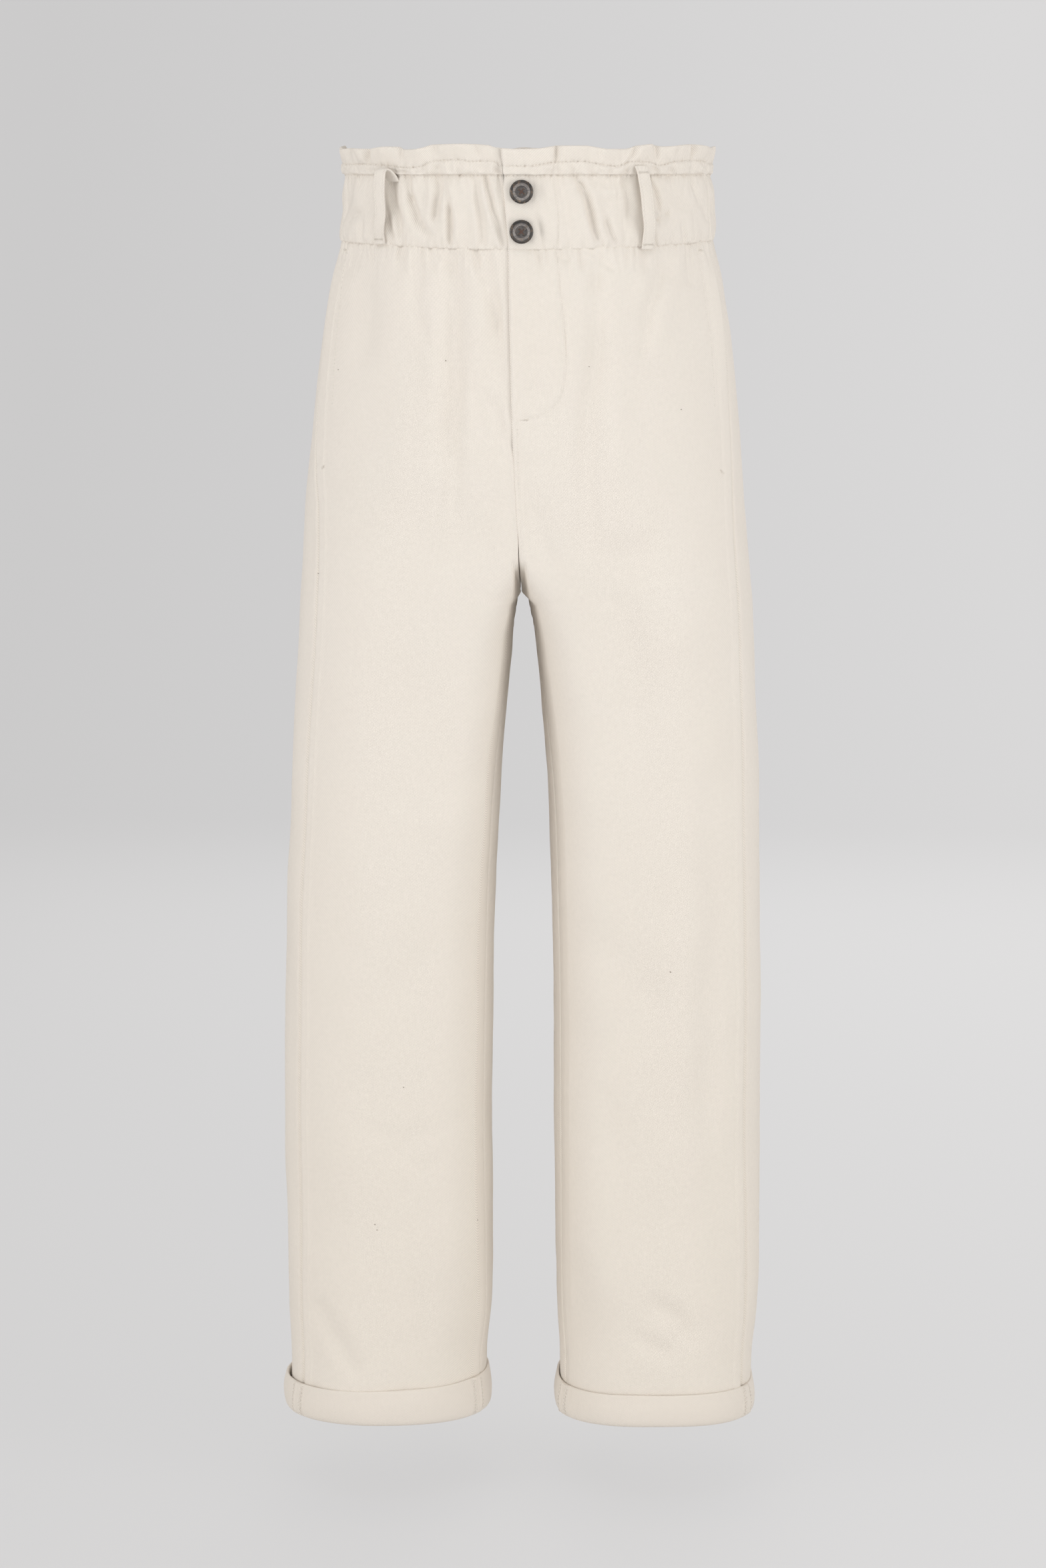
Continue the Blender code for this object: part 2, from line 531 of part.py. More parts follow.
def clear_of_edges(share, start, end):
    """0 in the lap and at a panel's edges, 1 from a few millimetres inside them."""
    here = start + share * (end - start)
    return ease((here - 2 * MM) / (7 * MM)) * ease((end - here) / (7 * MM))


def lapped(height):
    """1 over the fly and placket, where one front lies on the other, easing to 0 below them."""
    return ease((height - FLY_FLAT) / (FLY_END - FLY_FLAT))


def front_edge(side, height):
    """Where the front's free edge lies: the distance along its outline, below 0 where it runs under the other."""
    if side > 0:
        return SEAM_GAP / 2
    return SEAM_GAP / 2 - (LAP + SEAM_GAP) * min(max((height - FLY_END) / (FLY_FULL - FLY_END), 0.0), 1.0)


def half_lap(wall):
    """How far each of two lapping layers moves from the surface that runs between them."""
    return wall / 2 + 0.8 * SEAM_GAP


def lap_push(side, distance, height, wall):
    """How far the lap moves the cloth out (the upper front) or in (the under one)."""
    push = half_lap(wall) * lapped(height)
    if side > 0:
        return push * (1 - ease((distance - LAP) / LAP_EASE))
    return -push * (1 - ease(distance / LAP_EASE))


def panel_ends(side, part, height):
    """Where a panel starts and ends along the outline: the front edge or side seam, and the seam that it runs to."""
    word = "left" if side > 0 else "right"
    points, seam = outline(side, height)
    if part == "front":
        return front_edge(side, height), seam - read(MOUTHS, "back_" + word, height) * MM
    return seam + SEAM_GAP / 2, lengths(points)[-1] - SEAM_GAP / 2


def steady_width(side, part, height):
    """The panel's width, but past the crotch's sudden extra length it flows from above it to below it."""
    above, below = CROTCH_ZONE
    if not below < height < above:
        start, end = panel_ends(side, part, height)
        return end - start
    heights = np.array([below - 0.04, below, above, above + 0.02])
    widths = []
    for place in heights:
        start, end = panel_ends(side, part, place)
        widths.append(end - start)
    return flowing(heights, np.array(widths), height)


def panel_distance(side, part, share, height):
    """How far along the outline a column lies. Its steps grow only next to the centre seam, not at the side seam."""
    start, end = panel_ends(side, part, height)
    steady = steady_width(side, part, height)
    from_seam = 1 - share if part == "front" else share
    away = from_seam * steady + (end - start - steady) * from_seam**4
    return end - away if part == "front" else start + away


def panel_shares(cols, folds):
    """Where the panel's columns lie, as shares of its width, with one at the bottom of each fold from the waist."""
    return snapped(np.linspace(0, 1, cols), [fold["share"] for fold in folds if fold["top"] * MM > WAIST_SEAM])


def panel_grid(side, part, shares, folds):
    """The panel's undisturbed points, how far each moves out, and how much of that is the pocket mouth's gape."""
    word = "left" if side > 0 else "right"
    base = np.zeros((len(ROW_HEIGHTS), len(shares), 3))
    push = np.zeros((len(ROW_HEIGHTS), len(shares)))
    gape = np.zeros_like(push)
    for i, row in enumerate(ROW_HEIGHTS):
        for j, share in enumerate(shares):
            height = row
            for _ in range(2):
                start, end = panel_ends(side, part, height)
                distance = panel_distance(side, part, share, height)
                spot, _ = on_outline(side, distance, height)
                height = row + seam_rise(spot[0], row) - (SEAM_GAP / 2 if i == 0 else 0.0)
            base[i, j] = (spot[0], spot[1], height)
            push[i, j] = -fold_depth(folds, share, end - start, height) * clear_of_edges(share, start, end)
            if part == "front":
                push[i, j] += lap_push(side, distance, height, CLOTH)
                gape[i, j] = read(MOUTHS, "out_" + word, height) * MM * ease(1 - (end - distance) / MOUTH_REACH)
    return base, push, gape


def share_normals(first, second, col_of_first, col_of_second, rows):
    """Gives two panels the same outward direction along the seam that joins them."""
    for i in rows:
        mean = first[i, col_of_first] + second[i, col_of_second]
        mean /= np.linalg.norm(mean)
        first[i, col_of_first] = second[i, col_of_second] = mean


def parted(grid, side):
    """Keeps the halves clear of each other near the crotch, where they would touch along the middle."""
    for i, height in enumerate(ROW_HEIGHTS):
        if CROTCH <= height < PARTING_TOP:
            middle = read(BODY, "middle", height)
            away = np.maximum(side * (grid[i, :, 0] - middle), SEAM_GAP / 2)
            grid[i, :, 0] = middle + side * away
    return grid


def make_panels(side, front_folds, cloth):
    """The front, the back and the strip behind the pocket mouth, for one side."""
    word = "left" if side > 0 else "right"
    front, front_push, gape = panel_grid(side, "front", panel_shares(FRONT_COLUMNS, front_folds), front_folds)
    back_folds = named(FOLD_COLUMNS, BACK_FOLDS)
    back, back_push, _ = panel_grid(side, "back", panel_shares(BACK_COLUMNS, back_folds), back_folds)
    front_normal, back_normal = turned_normals(front, side), turned_normals(back, side)
    share_normals(front_normal, back_normal, -1, 0, range(len(ROW_HEIGHTS)))
    share_normals(front_normal, back_normal, 0, -1, [i for i, h in enumerate(ROW_HEIGHTS) if h < CROTCH + 1e-6])
    for part, base, normal, push in (
        ("front", front, front_normal, front_push + gape),
        ("back", back, back_normal, back_push),
    ):
        outer = base + normal * push[:, :, None]
        inner = base + normal * (push - CLOTH)[:, :, None]
        cloth_wall(f"{part}_panel_{word}", parted(outer, side), parted(inner, side), cloth)
    make_facing(f"pocket_facing_{word}", side, front, front_normal, front_push, cloth)


def make_facing(name, side, front, normal, push, cloth):
    """The strip of cloth that shows in a pocket mouth: from the back's seam edge, in under the front."""
    rows = [i for i, height in enumerate(ROW_HEIGHTS) if FLY_FLAT <= height <= -33 * MM]
    points, outward, depth = [], [], []
    for i in rows:
        height = front[i, -1, 2]
        _, seam = outline(side, height)
        spot, _ = on_outline(side, seam - SEAM_GAP, height)
        at_seam = np.array([*spot, height])
        points.append(np.vstack([front[i, -4:-1], (front[i, -1] + at_seam) / 2, at_seam]))
        outward.append(np.vstack([normal[i, -4:-1], normal[i, -1], normal[i, -1]]))
        depth.append(np.concatenate([push[i, -4:-1], [push[i, -1], push[i, -1]]]) - CLOTH - 2 * SEAM_GAP)
    points, outward, depth = np.array(points), np.array(outward), np.array(depth)[:, :, None]
    cloth_wall(name, points + outward * depth, points + outward * (depth - CLOTH), cloth)


# ---------------------------------------------------------------- casing and frill
def profile_at(name, height):
    return flowing(PROFILE_TABLE["height"], PROFILE_TABLE[name], height / MM)


def creases_at(creases, across, slant_share):
    """How deep the soft creases are at a place across the waist, all in mm."""
    depth = 0.0
    for crease in creases:
        away = (across - crease["across"] - crease["slant"] * slant_share) / crease["width"]
        depth += crease["depth"] * math.exp(-away * away)
    return depth


def waves_at(waves, across, what):
    """How far the frill's waves lean out or rise at a place across the waist, in mm."""
    return sum(wave[what] * math.exp(-(((across - wave["across"]) / wave["width"]) ** 2)) for wave in waves)


def uneven(count, seed):
    """`count` places between 0 and 1, unevenly spaced, each with a size near 1."""
    draw = np.random.default_rng(seed)
    steps = draw.uniform(0.6, 1.4, count + 1)
    places = np.cumsum(steps)[:-1] / steps.sum()
    return list(zip(places, draw.uniform(0.6, 1.35, count), draw.uniform(-1, 1, count)))


def ring_piece(name, stations, creases, waves, material, spot_at, lap_at):
    """A stretch of the waist: `spot_at(station, height)` gives its point and outward direction."""
    heights = [row[0] * MM for row in PROFILE]
    inner_heights = (WAIST_SEAM, 0.0, LOWER_STITCH_ROW, FRILL_BELLY, FRILL_TOP)
    outer = np.zeros((len(heights), len(stations), 3))
    inner = np.zeros((len(inner_heights), len(stations), 3))
    for j, station in enumerate(stations):
        for i, height in enumerate(heights):
            outer[i, j] = ring_point(station, height, creases, waves, spot_at, lap_at, i == 0, True)
        for i, height in enumerate(inner_heights):
            inner[i, j] = ring_point(station, height, creases, waves, spot_at, lap_at, i == 0, False)
    return cloth_wall(name, outer[::-1], inner[::-1], material)


def ring_point(station, height, creases, waves, spot_at, lap_at, lowest, outside):
    spot, outward, across = spot_at(station, height)
    lap, flat = lap_at(station)
    slant_share = -height / (LOWER_STITCH_ROW - WAIST_SEAM)
    crease = creases_at(creases, across, slant_share) * profile_at("crease", height) * (1 - flat)
    wave_share = profile_at("wave", height)
    back_drop = BACK_WAVE_DROP * ease(spot[1] / 0.05)
    lean = waves_at(waves, across, "lean")
    rise = waves_at(waves, across, "rise")
    pinched, closeness = ROLL_PINCHES
    roll = ROLL_OUT / MM * profile_at("roll", height) * (1 - pinched * math.sin(across * closeness) ** 2)
    roll *= 1 - PLACKET_FLATNESS * flat
    out = profile_at("out", height) * (1 - (1 - PLACKET_FLATNESS) * flat) + lean * wave_share
    if outside:
        out += roll - crease
    elif height > LOWER_STITCH_ROW + MM:
        out -= CLOTH / MM
    else:
        out = min(out, 0.8 + flat) - CASING_CLOTH / MM
    out = out * MM + lap
    up = height + seam_rise(spot[0], height) + (rise - back_drop) * MM * wave_share
    if lowest:
        up += SEAM_GAP / 2
    return np.array([spot[0] + outward[0] * out, spot[1] + outward[1] * out, up])


def snapped(stations, centres):
    """Moves the nearest station onto each crease's centre, so that every crease has a point at its bottom."""
    stations = np.array(stations)
    for centre in centres:
        k = int(np.argmin(np.abs(stations[1:-1] - centre))) + 1
        stations[k] = centre
    return np.unique(stations)


def make_front_casing(name, side, creases, waves, material):
    """Stations are distances along the outline from the placket edge to the side seam, at mid height."""
    points, seam = outline(side, 0.0)
    start = -LAP if side < 0 else SEAM_GAP / 2
    end = seam - SEAM_GAP / 2
    count = int(round((end - start) / CASING_STEP))
    centres = [where_across(points, crease["across"] * MM, side) for crease in creases]
    inside = [s for s in centres if start + 2 * MM < s < end - 2 * MM]
    stations = snapped(np.linspace(start, end, count + 1), inside)

    def spot_at(station, height):
        _, here = outline(side, height)
        place = station if station <= 0 else station * (here - SEAM_GAP / 2) / end
        spot, outward = on_outline(side, place, height)
        return spot, outward, on_outline(side, station, 0.0)[0][0] / MM

    def lap_at(station):
        flat = 1 - ease((station - LAP) / (PLACKET - LAP)) if side > 0 else 1 - ease(station / LAP_EASE)
        return lap_push(side, station, 0.0, PLACKET_CLOTH), flat

    return ring_piece(name, stations, creases, waves, material, spot_at, lap_at)


def make_back_casing(name, material):
    """One piece from the right side seam round the back to the left one. Stations run from 0 to its length."""
    ends = {side: (outline(side, 0.0)[1] + SEAM_GAP / 2, lengths(outline(side, 0.0)[0])[-1]) for side in (-1, 1)}
    right, left = (ends[side][1] - ends[side][0] for side in (-1, 1))
    total = right + left
    creases = named(CREASE_COLUMNS, [
        (place * total / MM, BACK_CREASE_SLANT * turn, BACK_CREASE_DEPTH * size, BACK_CREASE_WIDTH)
        for place, size, turn in uneven(BACK_CREASES, 5)
    ])
    waves = named(WAVE_COLUMNS, [
        (place * total / MM, BACK_WAVE_LEAN * (1.3 if k % 2 else -1.0) * size, BACK_WAVE_RISE * turn, BACK_WAVE_WIDTH)
        for k, (place, size, turn) in enumerate(uneven(BACK_WAVES, 9))
    ])
    count = int(round(total / BACK_CASING_STEP))
    stations = snapped(np.linspace(0.0, total, count + 1), [crease["across"] * MM for crease in creases])

    def spot_at(station, height):
        side = -1 if station < right else 1
        seam, length = outline(side, height)[1] + SEAM_GAP / 2, lengths(outline(side, height)[0])[-1]
        share = station / right if side < 0 else (total - station) / left
        spot, outward = on_outline(side, seam + share * (length - seam), height)
        return spot, outward, station / MM

    return ring_piece(name, stations, creases, waves, material, spot_at, lambda station: (0.0, 0.0))


# ---------------------------------------------------------------- belt loops, cuffs, buttons
def loop_foot(across, face):
    """Which half a loop stands on, and its distance along that half's outline."""
    side = 1 if across > read(BODY, "middle", 0.0) - 1e-4 else -1
    points, _ = outline(side, 0.0)
    turn = int(np.argmax(side * points[:, 0]))
    if face == "front":
        return side, where_across(points, across, side)
    back = points[turn:]
    along = lengths(points)[turn:]
    return side, float(np.interp(-side * across, -side * back[:, 0], along))


def make_loop(loop, material):
    face = loop["face"]
    side, place = loop_foot(loop["across"], face)
    total = lengths(outline(side, 0.0)[0])[-1]
    vertices = []
    for row in named(LOOP_PATH_COLUMNS, LOOP_PATH):
        height = row["height"] * MM
        off = (row["off"] + row["top"] * loop["top"] + row["foot"] * loop["foot"]) * MM
        here = lengths(outline(side, height)[0])[-1]
        inward = -1 if face == "front" else 0
        spot, outward = on_outline(side, place * here / total + inward * row["shift"] * MM, height)
        tangent = np.array([-outward[1], outward[0]])
        lift = seam_rise(spot[0], height)
        for half, depth in ((-1, off), (1, off), (1, off + LOOP_CLOTH), (-1, off + LOOP_CLOTH)):
            flat = spot + outward * depth + tangent * (half * LOOP_WIDTH / 2)
            vertices.append((flat[0], flat[1], height + lift))
    rings = len(LOOP_PATH)
    faces = grid_faces(rings, 4, closed=True)
    faces += [(0, 1, 2, 3), tuple(4 * (rings - 1) + k for k in (3, 2, 1, 0))]
    return new_object(loop["name"], vertices, faces, material)


def make_cuff(name, side, front_folds, material):
    """The leg's end turned up outside itself: its section is carried round the leg's outline at the hem."""
    word = "left" if side > 0 else "right"
    height = LEG_END
    points = half_loop(side, height)
    total = lengths(points)[-1]
    middle = (np.max(points[:, 0]) + np.min(points[:, 0])) / 2
    half = (np.max(points[:, 0]) - np.min(points[:, 0])) / 2
    inseam = where_across(points, points[0, 0] + side * read(SEAM_LINES, "inseam_" + word, height), side)
    outer_edge = side * (np.max(side * points[:, 0]) - read(SEAM_LINES, "side_" + word, height))
    side_seam = where_across(points, outer_edge, side)
    allowances = [(seam - 0.5 * ALLOWANCE_WIDTH, seam + 0.5 * ALLOWANCE_WIDTH) for seam in (inseam, side_seam)]
    front = inseam + panel_shares(FRONT_COLUMNS, front_folds) * (side_seam - inseam)
    back_shares = panel_shares(BACK_COLUMNS, named(FOLD_COLUMNS, BACK_FOLDS))
    back = side_seam + back_shares * (total + inseam - side_seam)
    between = (front[:-1] + front[1:]) / 2
    stations = np.sort(np.concatenate([front[:-1], between, back[:-1]]) % total)
    section = named(CUFF_COLUMNS, CUFF_SECTION)
    vertices = []
    along = lengths(points)
    for station in stations:
        spot = np.array([np.interp(station, along, points[:, k]) for k in (0, 1)])
        nearby = [np.interp((station + step) % total, along, points[:, k]) for step in (-MM, MM) for k in (0, 1)]
        ahead = np.array([nearby[2] - nearby[0], nearby[3] - nearby[1]])
        ahead /= np.linalg.norm(ahead)
        outward = side * np.array([ahead[1], -ahead[0]])
        raised = any(low - 1e-6 < station < high + 1e-6 for low, high in allowances)
        inner_side = side * (middle - spot[0]) / half
        for point in section:
            out = point["out"] * MM
            if raised and point["out"] > 2.5:
                out += ALLOWANCE_STEP
            up = HEM + point["up"] * MM - CUFFS[side]["drop"]
            up += (CUFFS[side]["tilt"] * inner_side - CUFFS[side]["top_drop"]) * point["top"]
            vertices.append((spot[0] + outward[0] * out, spot[1] + outward[1] * out, up))
    faces = grid_faces(len(stations), len(section), closed=True)
    last = (len(stations) - 1) * len(section)
    faces += [(last + k, last + (k + 1) % len(section), (k + 1) % len(section), k) for k in range(len(section))]
    return new_object(name, vertices, faces, material)


def placket_front(height):
    """How far forward the placket comes behind a button at this height."""
    forward = []
    for up in np.linspace(height - BUTTON_WIDTH / 2, height + BUTTON_WIDTH / 2, 9):
        out = PLACKET_FLATNESS * profile_at("out", up) * MM + half_lap(PLACKET_CLOTH)
        forward.append(on_outline(1, BUTTON_FROM_EDGE, up)[0][1] - out)
    return min(forward)


def make_button(name, height, seat, material):
    """A turned four-hole button with a raised rim, its flat back to the placket."""
    half = BUTTON_WIDTH / 2
    profile = (  # radius and thickness from the back, going out
        (0.0, 1.7 * MM), (5.4 * MM, 1.9 * MM), (5.9 * MM, 2.3 * MM), (half - 1.6 * MM, BUTTON_THICK),
        (half - 0.7 * MM, BUTTON_THICK - 0.15 * MM), (half, 1.9 * MM), (half - 0.5 * MM, 0.6 * MM),
        (half - 2.2 * MM, 0.0), (0.0, 0.0),
    )
    work = bmesh.new()
    points = [work.verts.new((radius, -thick, 0.0)) for radius, thick in profile]
    edges = [work.edges.new(pair) for pair in zip(points, points[1:])]
    bmesh.ops.spin(
        work, geom=points + edges, cent=(0, 0, 0), axis=(0, 1, 0), dvec=(0, 0, 0), angle=math.tau, steps=22,
        use_merge=True,
    )
    bmesh.ops.remove_doubles(work, verts=work.verts, dist=1e-6)
    bmesh.ops.recalc_face_normals(work, faces=work.faces)
    mesh = bpy.data.meshes.new(name)
    work.to_mesh(mesh)
    work.free()
    mesh.shade_smooth()
    mesh.set_sharp_from_angle(angle=math.radians(40))
    mesh.materials.append(material)
    button = bpy.data.objects.new(name, mesh)
    button.location = (BUTTON_ACROSS, seat, height)
    bpy.context.scene.collection.objects.link(button)
    for k, (across, up) in enumerate(((-1, -1), (1, -1), (1, 1), (-1, 1))):
        drill = make_drill(f"{name}_drill_{k}")
        drill.parent = button
        drill.location = (across * BUTTON_HOLE_PITCH / 2, 0.0, up * BUTTON_HOLE_PITCH / 2)
        hole = button.modifiers.new(f"hole_{k}", "BOOLEAN")
        hole.operation = "DIFFERENCE"
        hole.object = drill
    return button


def make_drill(name):
    work = bmesh.new()
    bmesh.ops.create_cone(
        work, cap_ends=True, segments=8, radius1=BUTTON_HOLE / 2, radius2=BUTTON_HOLE / 2, depth=12 * MM,
    )
    lay_along_y = Matrix.Rotation(math.pi / 2, 3, "X")
    bmesh.ops.rotate(work, verts=work.verts, cent=(0, 0, 0), matrix=lay_along_y)
    mesh = bpy.data.meshes.new(name)
    work.to_mesh(mesh)
    work.free()
    drill = bpy.data.objects.new(name, mesh)
    drill.hide_render = True
    drill.display_type = "WIRE"
    bpy.context.scene.collection.objects.link(drill)
    return drill


# ---------------------------------------------------------------- materials and assembly
def make_material(name):
    colour, roughness = COLOURS[name]
    material = bpy.data.materials.new(name)
    material.use_nodes = True
    shader = material.node_tree.nodes["Principled BSDF"]
    shader.inputs["Base Color"].default_value = colour
    shader.inputs["Roughness"].default_value = roughness
    shader.inputs["Metallic"].default_value = 0.0
    return material


def main():
    for old in list(bpy.data.objects):
        bpy.data.objects.remove(old, do_unlink=True)
    twill = make_material("ecru_twill")
    wrong_side = make_material("ecru_wrong_side")
    horn = make_material("horn")

    right_folds, left_folds = named(FOLD_COLUMNS, FRONT_RIGHT_FOLDS), named(FOLD_COLUMNS, FRONT_LEFT_FOLDS)
    make_panels(-1, right_folds, twill)
    make_panels(1, left_folds, twill)
    waves = named(WAVE_COLUMNS, WAVES_RIGHT + WAVES_LEFT)
    make_front_casing("waistband_front_right", -1, named(CREASE_COLUMNS, CREASES_RIGHT), waves, twill)
    make_front_casing("waistband_front_left", 1, named(CREASE_COLUMNS, CREASES_LEFT), waves, twill)
    make_back_casing("waistband_back", twill)
    for loop in named(LOOP_COLUMNS, LOOPS):
        make_loop(loop, twill)
    make_cuff("cuff_right", -1, right_folds, wrong_side)
    make_cuff("cuff_left", 1, left_folds, wrong_side)

    for word, height in zip(("upper", "lower"), BUTTON_HEIGHTS):
        make_button(f"button_{word}", height, placket_front(height) - SEAM_GAP, horn)


main()
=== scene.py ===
# %% [markdown]
# # Paperbag waist trousers in ecru cotton twill
#
# The trousers stand open and filled out, as if worn. The CAD frame holds their true form as rigid solids:
# four panels, a gathered casing with its frill, five belt loops, two turned-up cuffs, the strips in the
# pocket mouths and two buttons. This lesson lays real cloth over that form: thin shells with gathers,
# creases, seams and stitches.
#
# Every piece keeps to the frame: metres, +Z up, the front faces -Y and the wearer's left is +X.

# %% Load the frame
import json
import math

import bpy
import bmesh
import numpy as np
from mathutils import Matrix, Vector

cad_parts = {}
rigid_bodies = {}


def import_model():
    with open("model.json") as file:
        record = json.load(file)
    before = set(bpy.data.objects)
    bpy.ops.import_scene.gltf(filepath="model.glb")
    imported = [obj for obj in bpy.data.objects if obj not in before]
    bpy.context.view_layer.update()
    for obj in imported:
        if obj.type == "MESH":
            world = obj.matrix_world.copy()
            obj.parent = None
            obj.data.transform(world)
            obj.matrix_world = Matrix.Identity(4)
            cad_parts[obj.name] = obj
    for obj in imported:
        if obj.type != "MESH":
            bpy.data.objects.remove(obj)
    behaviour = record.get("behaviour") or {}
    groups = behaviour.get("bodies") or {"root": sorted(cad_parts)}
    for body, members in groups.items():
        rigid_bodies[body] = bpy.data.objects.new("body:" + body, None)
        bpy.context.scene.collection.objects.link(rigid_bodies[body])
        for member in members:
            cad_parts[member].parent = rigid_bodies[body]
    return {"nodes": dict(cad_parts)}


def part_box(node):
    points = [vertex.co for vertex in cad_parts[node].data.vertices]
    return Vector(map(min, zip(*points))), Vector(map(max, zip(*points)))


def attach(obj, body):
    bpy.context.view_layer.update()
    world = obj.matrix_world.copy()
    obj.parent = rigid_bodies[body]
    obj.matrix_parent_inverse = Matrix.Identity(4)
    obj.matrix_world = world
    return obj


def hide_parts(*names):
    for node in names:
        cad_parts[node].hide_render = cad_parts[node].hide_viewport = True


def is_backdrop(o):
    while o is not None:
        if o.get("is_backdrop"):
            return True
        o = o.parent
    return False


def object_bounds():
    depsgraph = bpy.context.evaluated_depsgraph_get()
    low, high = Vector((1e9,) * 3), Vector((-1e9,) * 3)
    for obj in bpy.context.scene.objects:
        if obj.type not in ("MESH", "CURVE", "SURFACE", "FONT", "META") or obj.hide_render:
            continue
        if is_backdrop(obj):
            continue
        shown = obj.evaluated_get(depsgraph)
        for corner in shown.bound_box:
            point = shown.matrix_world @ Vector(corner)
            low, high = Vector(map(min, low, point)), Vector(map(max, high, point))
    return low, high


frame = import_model()
cad_box = [list(map(float, corner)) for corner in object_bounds()]
scene = bpy.context.scene
MM = 0.001
print("frame nodes:", len(frame["nodes"]))

# %% [markdown]
# ## The camera
#
# A tall studio view from a little above the waist. The lens is long, about 93 mm, so that the legs hardly
# converge: product photographers stand well back for the same reason.

# %% Camera
bpy.ops.object.select_all(action="DESELECT")
CAMERA_DISTANCE = 3.2
LOOKS_DOWN = 8.97  # degrees
bpy.ops.object.camera_add(
    location=(0.0, -CAMERA_DISTANCE, 0.05), rotation=(math.radians(90 - LOOKS_DOWN), 0.0, 0.0),
)
camera = bpy.context.object
camera.name = "studio_camera"
camera.data.lens = 92.9
camera.data.sensor_width = 36.0
scene.camera = camera
print("camera lens:", round(camera.data.lens, 1), "mm")

# %% [markdown]
# ## The cut, as tables
#
# A pattern maker writes a garment as widths at heights. The same sections as the solids are written here,
# so that the cloth fits over them. A smooth curve is run through each column of a table, one that never
# overshoots its rows, because an overshoot would show as a bump in the cloth.

# %% Sections of the body, in metres
CLOTH = 1.5 * MM
SEAM_GAP = 0.3 * MM
WAIST_SEAM = -28 * MM
SEAM_RISE = 5 * MM
RISE_FADE = 80 * MM
SIDE_REACH = 147 * MM
LOWER_STITCHES, UPPER_STITCHES, FRILL_EDGE = 27.2, 34.4, 48.2  # heights of the two rows and the frill, in mm
LOWER_ROW = LOWER_STITCHES * MM  # the gathering row that closes the casing
HEM = -967 * MM
CUFF_TOP = -938.5 * MM
LEG_END = HEM + 2.8 * MM
CROTCH = -300 * MM
FLY_FULL, FLY_END, FLY_FLAT = -160 * MM, -174 * MM, -192 * MM
LAP, LAP_EASE = 10 * MM, 8 * MM
PLACKET = 38 * MM
PLACKET_FLATNESS = 0.7
MOUTH_REACH = 18 * MM
CROTCH_ZONE = (-0.235, -0.350)
MOUTH_TOP, MOUTH_FOOT = -33, -195  # the pocket mouths' ends, in mm
J_FOOT, CENTRE_FOOT = -157, -262  # the foot of the mock fly's stitches, and of the row below them, in mm
SEEDS = {
    "front": 30, "back": 60, "cuffs": 70, "neps": 90, "casing_front": 200, "casing_back": 240, "loops": 400,
}

TORSO_COLUMNS = (
    "height", "outer_left", "outer_right", "front", "back", "square", "joined", "middle", "lap_edge",
)
TORSO = (
    (0.056, 0.1466, 0.1422, 0.0945, 0.0950, 2.15, 1.00, 0.0030, -0.0166),
    (0.030, 0.1463, 0.1392, 0.0940, 0.0950, 2.15, 1.00, 0.0030, -0.0158),
    (0.000, 0.1468, 0.1380, 0.0940, 0.0955, 2.15, 1.00, 0.0030, -0.0133),
    (-0.028, 0.1501, 0.1434, 0.0965, 0.0985, 2.17, 1.00, 0.0030, -0.0111),
    (-0.060, 0.1572, 0.1507, 0.1010, 0.1070, 2.20, 1.00, 0.0030, -0.0106),
    (-0.100, 0.1635, 0.1572, 0.1040, 0.1150, 2.22, 0.96, 0.0025, -0.0098),
    (-0.160, 0.1696, 0.1649, 0.1050, 0.1210, 2.25, 0.81, 0.0010, -0.0082),
    (-0.200, 0.1728, 0.1692, 0.1040, 0.1205, 2.28, 0.62, -0.0010, -0.0066),
    (-0.230, 0.1751, 0.1716, 0.1025, 0.1180, 2.30, 0.43, -0.0028, -0.0050),
    (-0.255, 0.1770, 0.1733, 0.1005, 0.1150, 2.31, 0.26, -0.0034, -0.0034),
    (-0.275, 0.1788, 0.1745, 0.0990, 0.1118, 2.32, 0.115, -0.0028, -0.0028),
    (-0.290, 0.1802, 0.1756, 0.0978, 0.1090, 2.32, 0.040, -0.0017, -0.0017),
    (CROTCH, 0.1812, 0.1762, 0.0970, 0.1070, 2.32, 0.010, -0.0010, -0.0010),
)
LEG_COLUMNS = (
    "height", "outer_left", "inner_left", "gap_left", "outer_right", "inner_right", "gap_right", "front",
    "back", "square_left", "square_right",
)
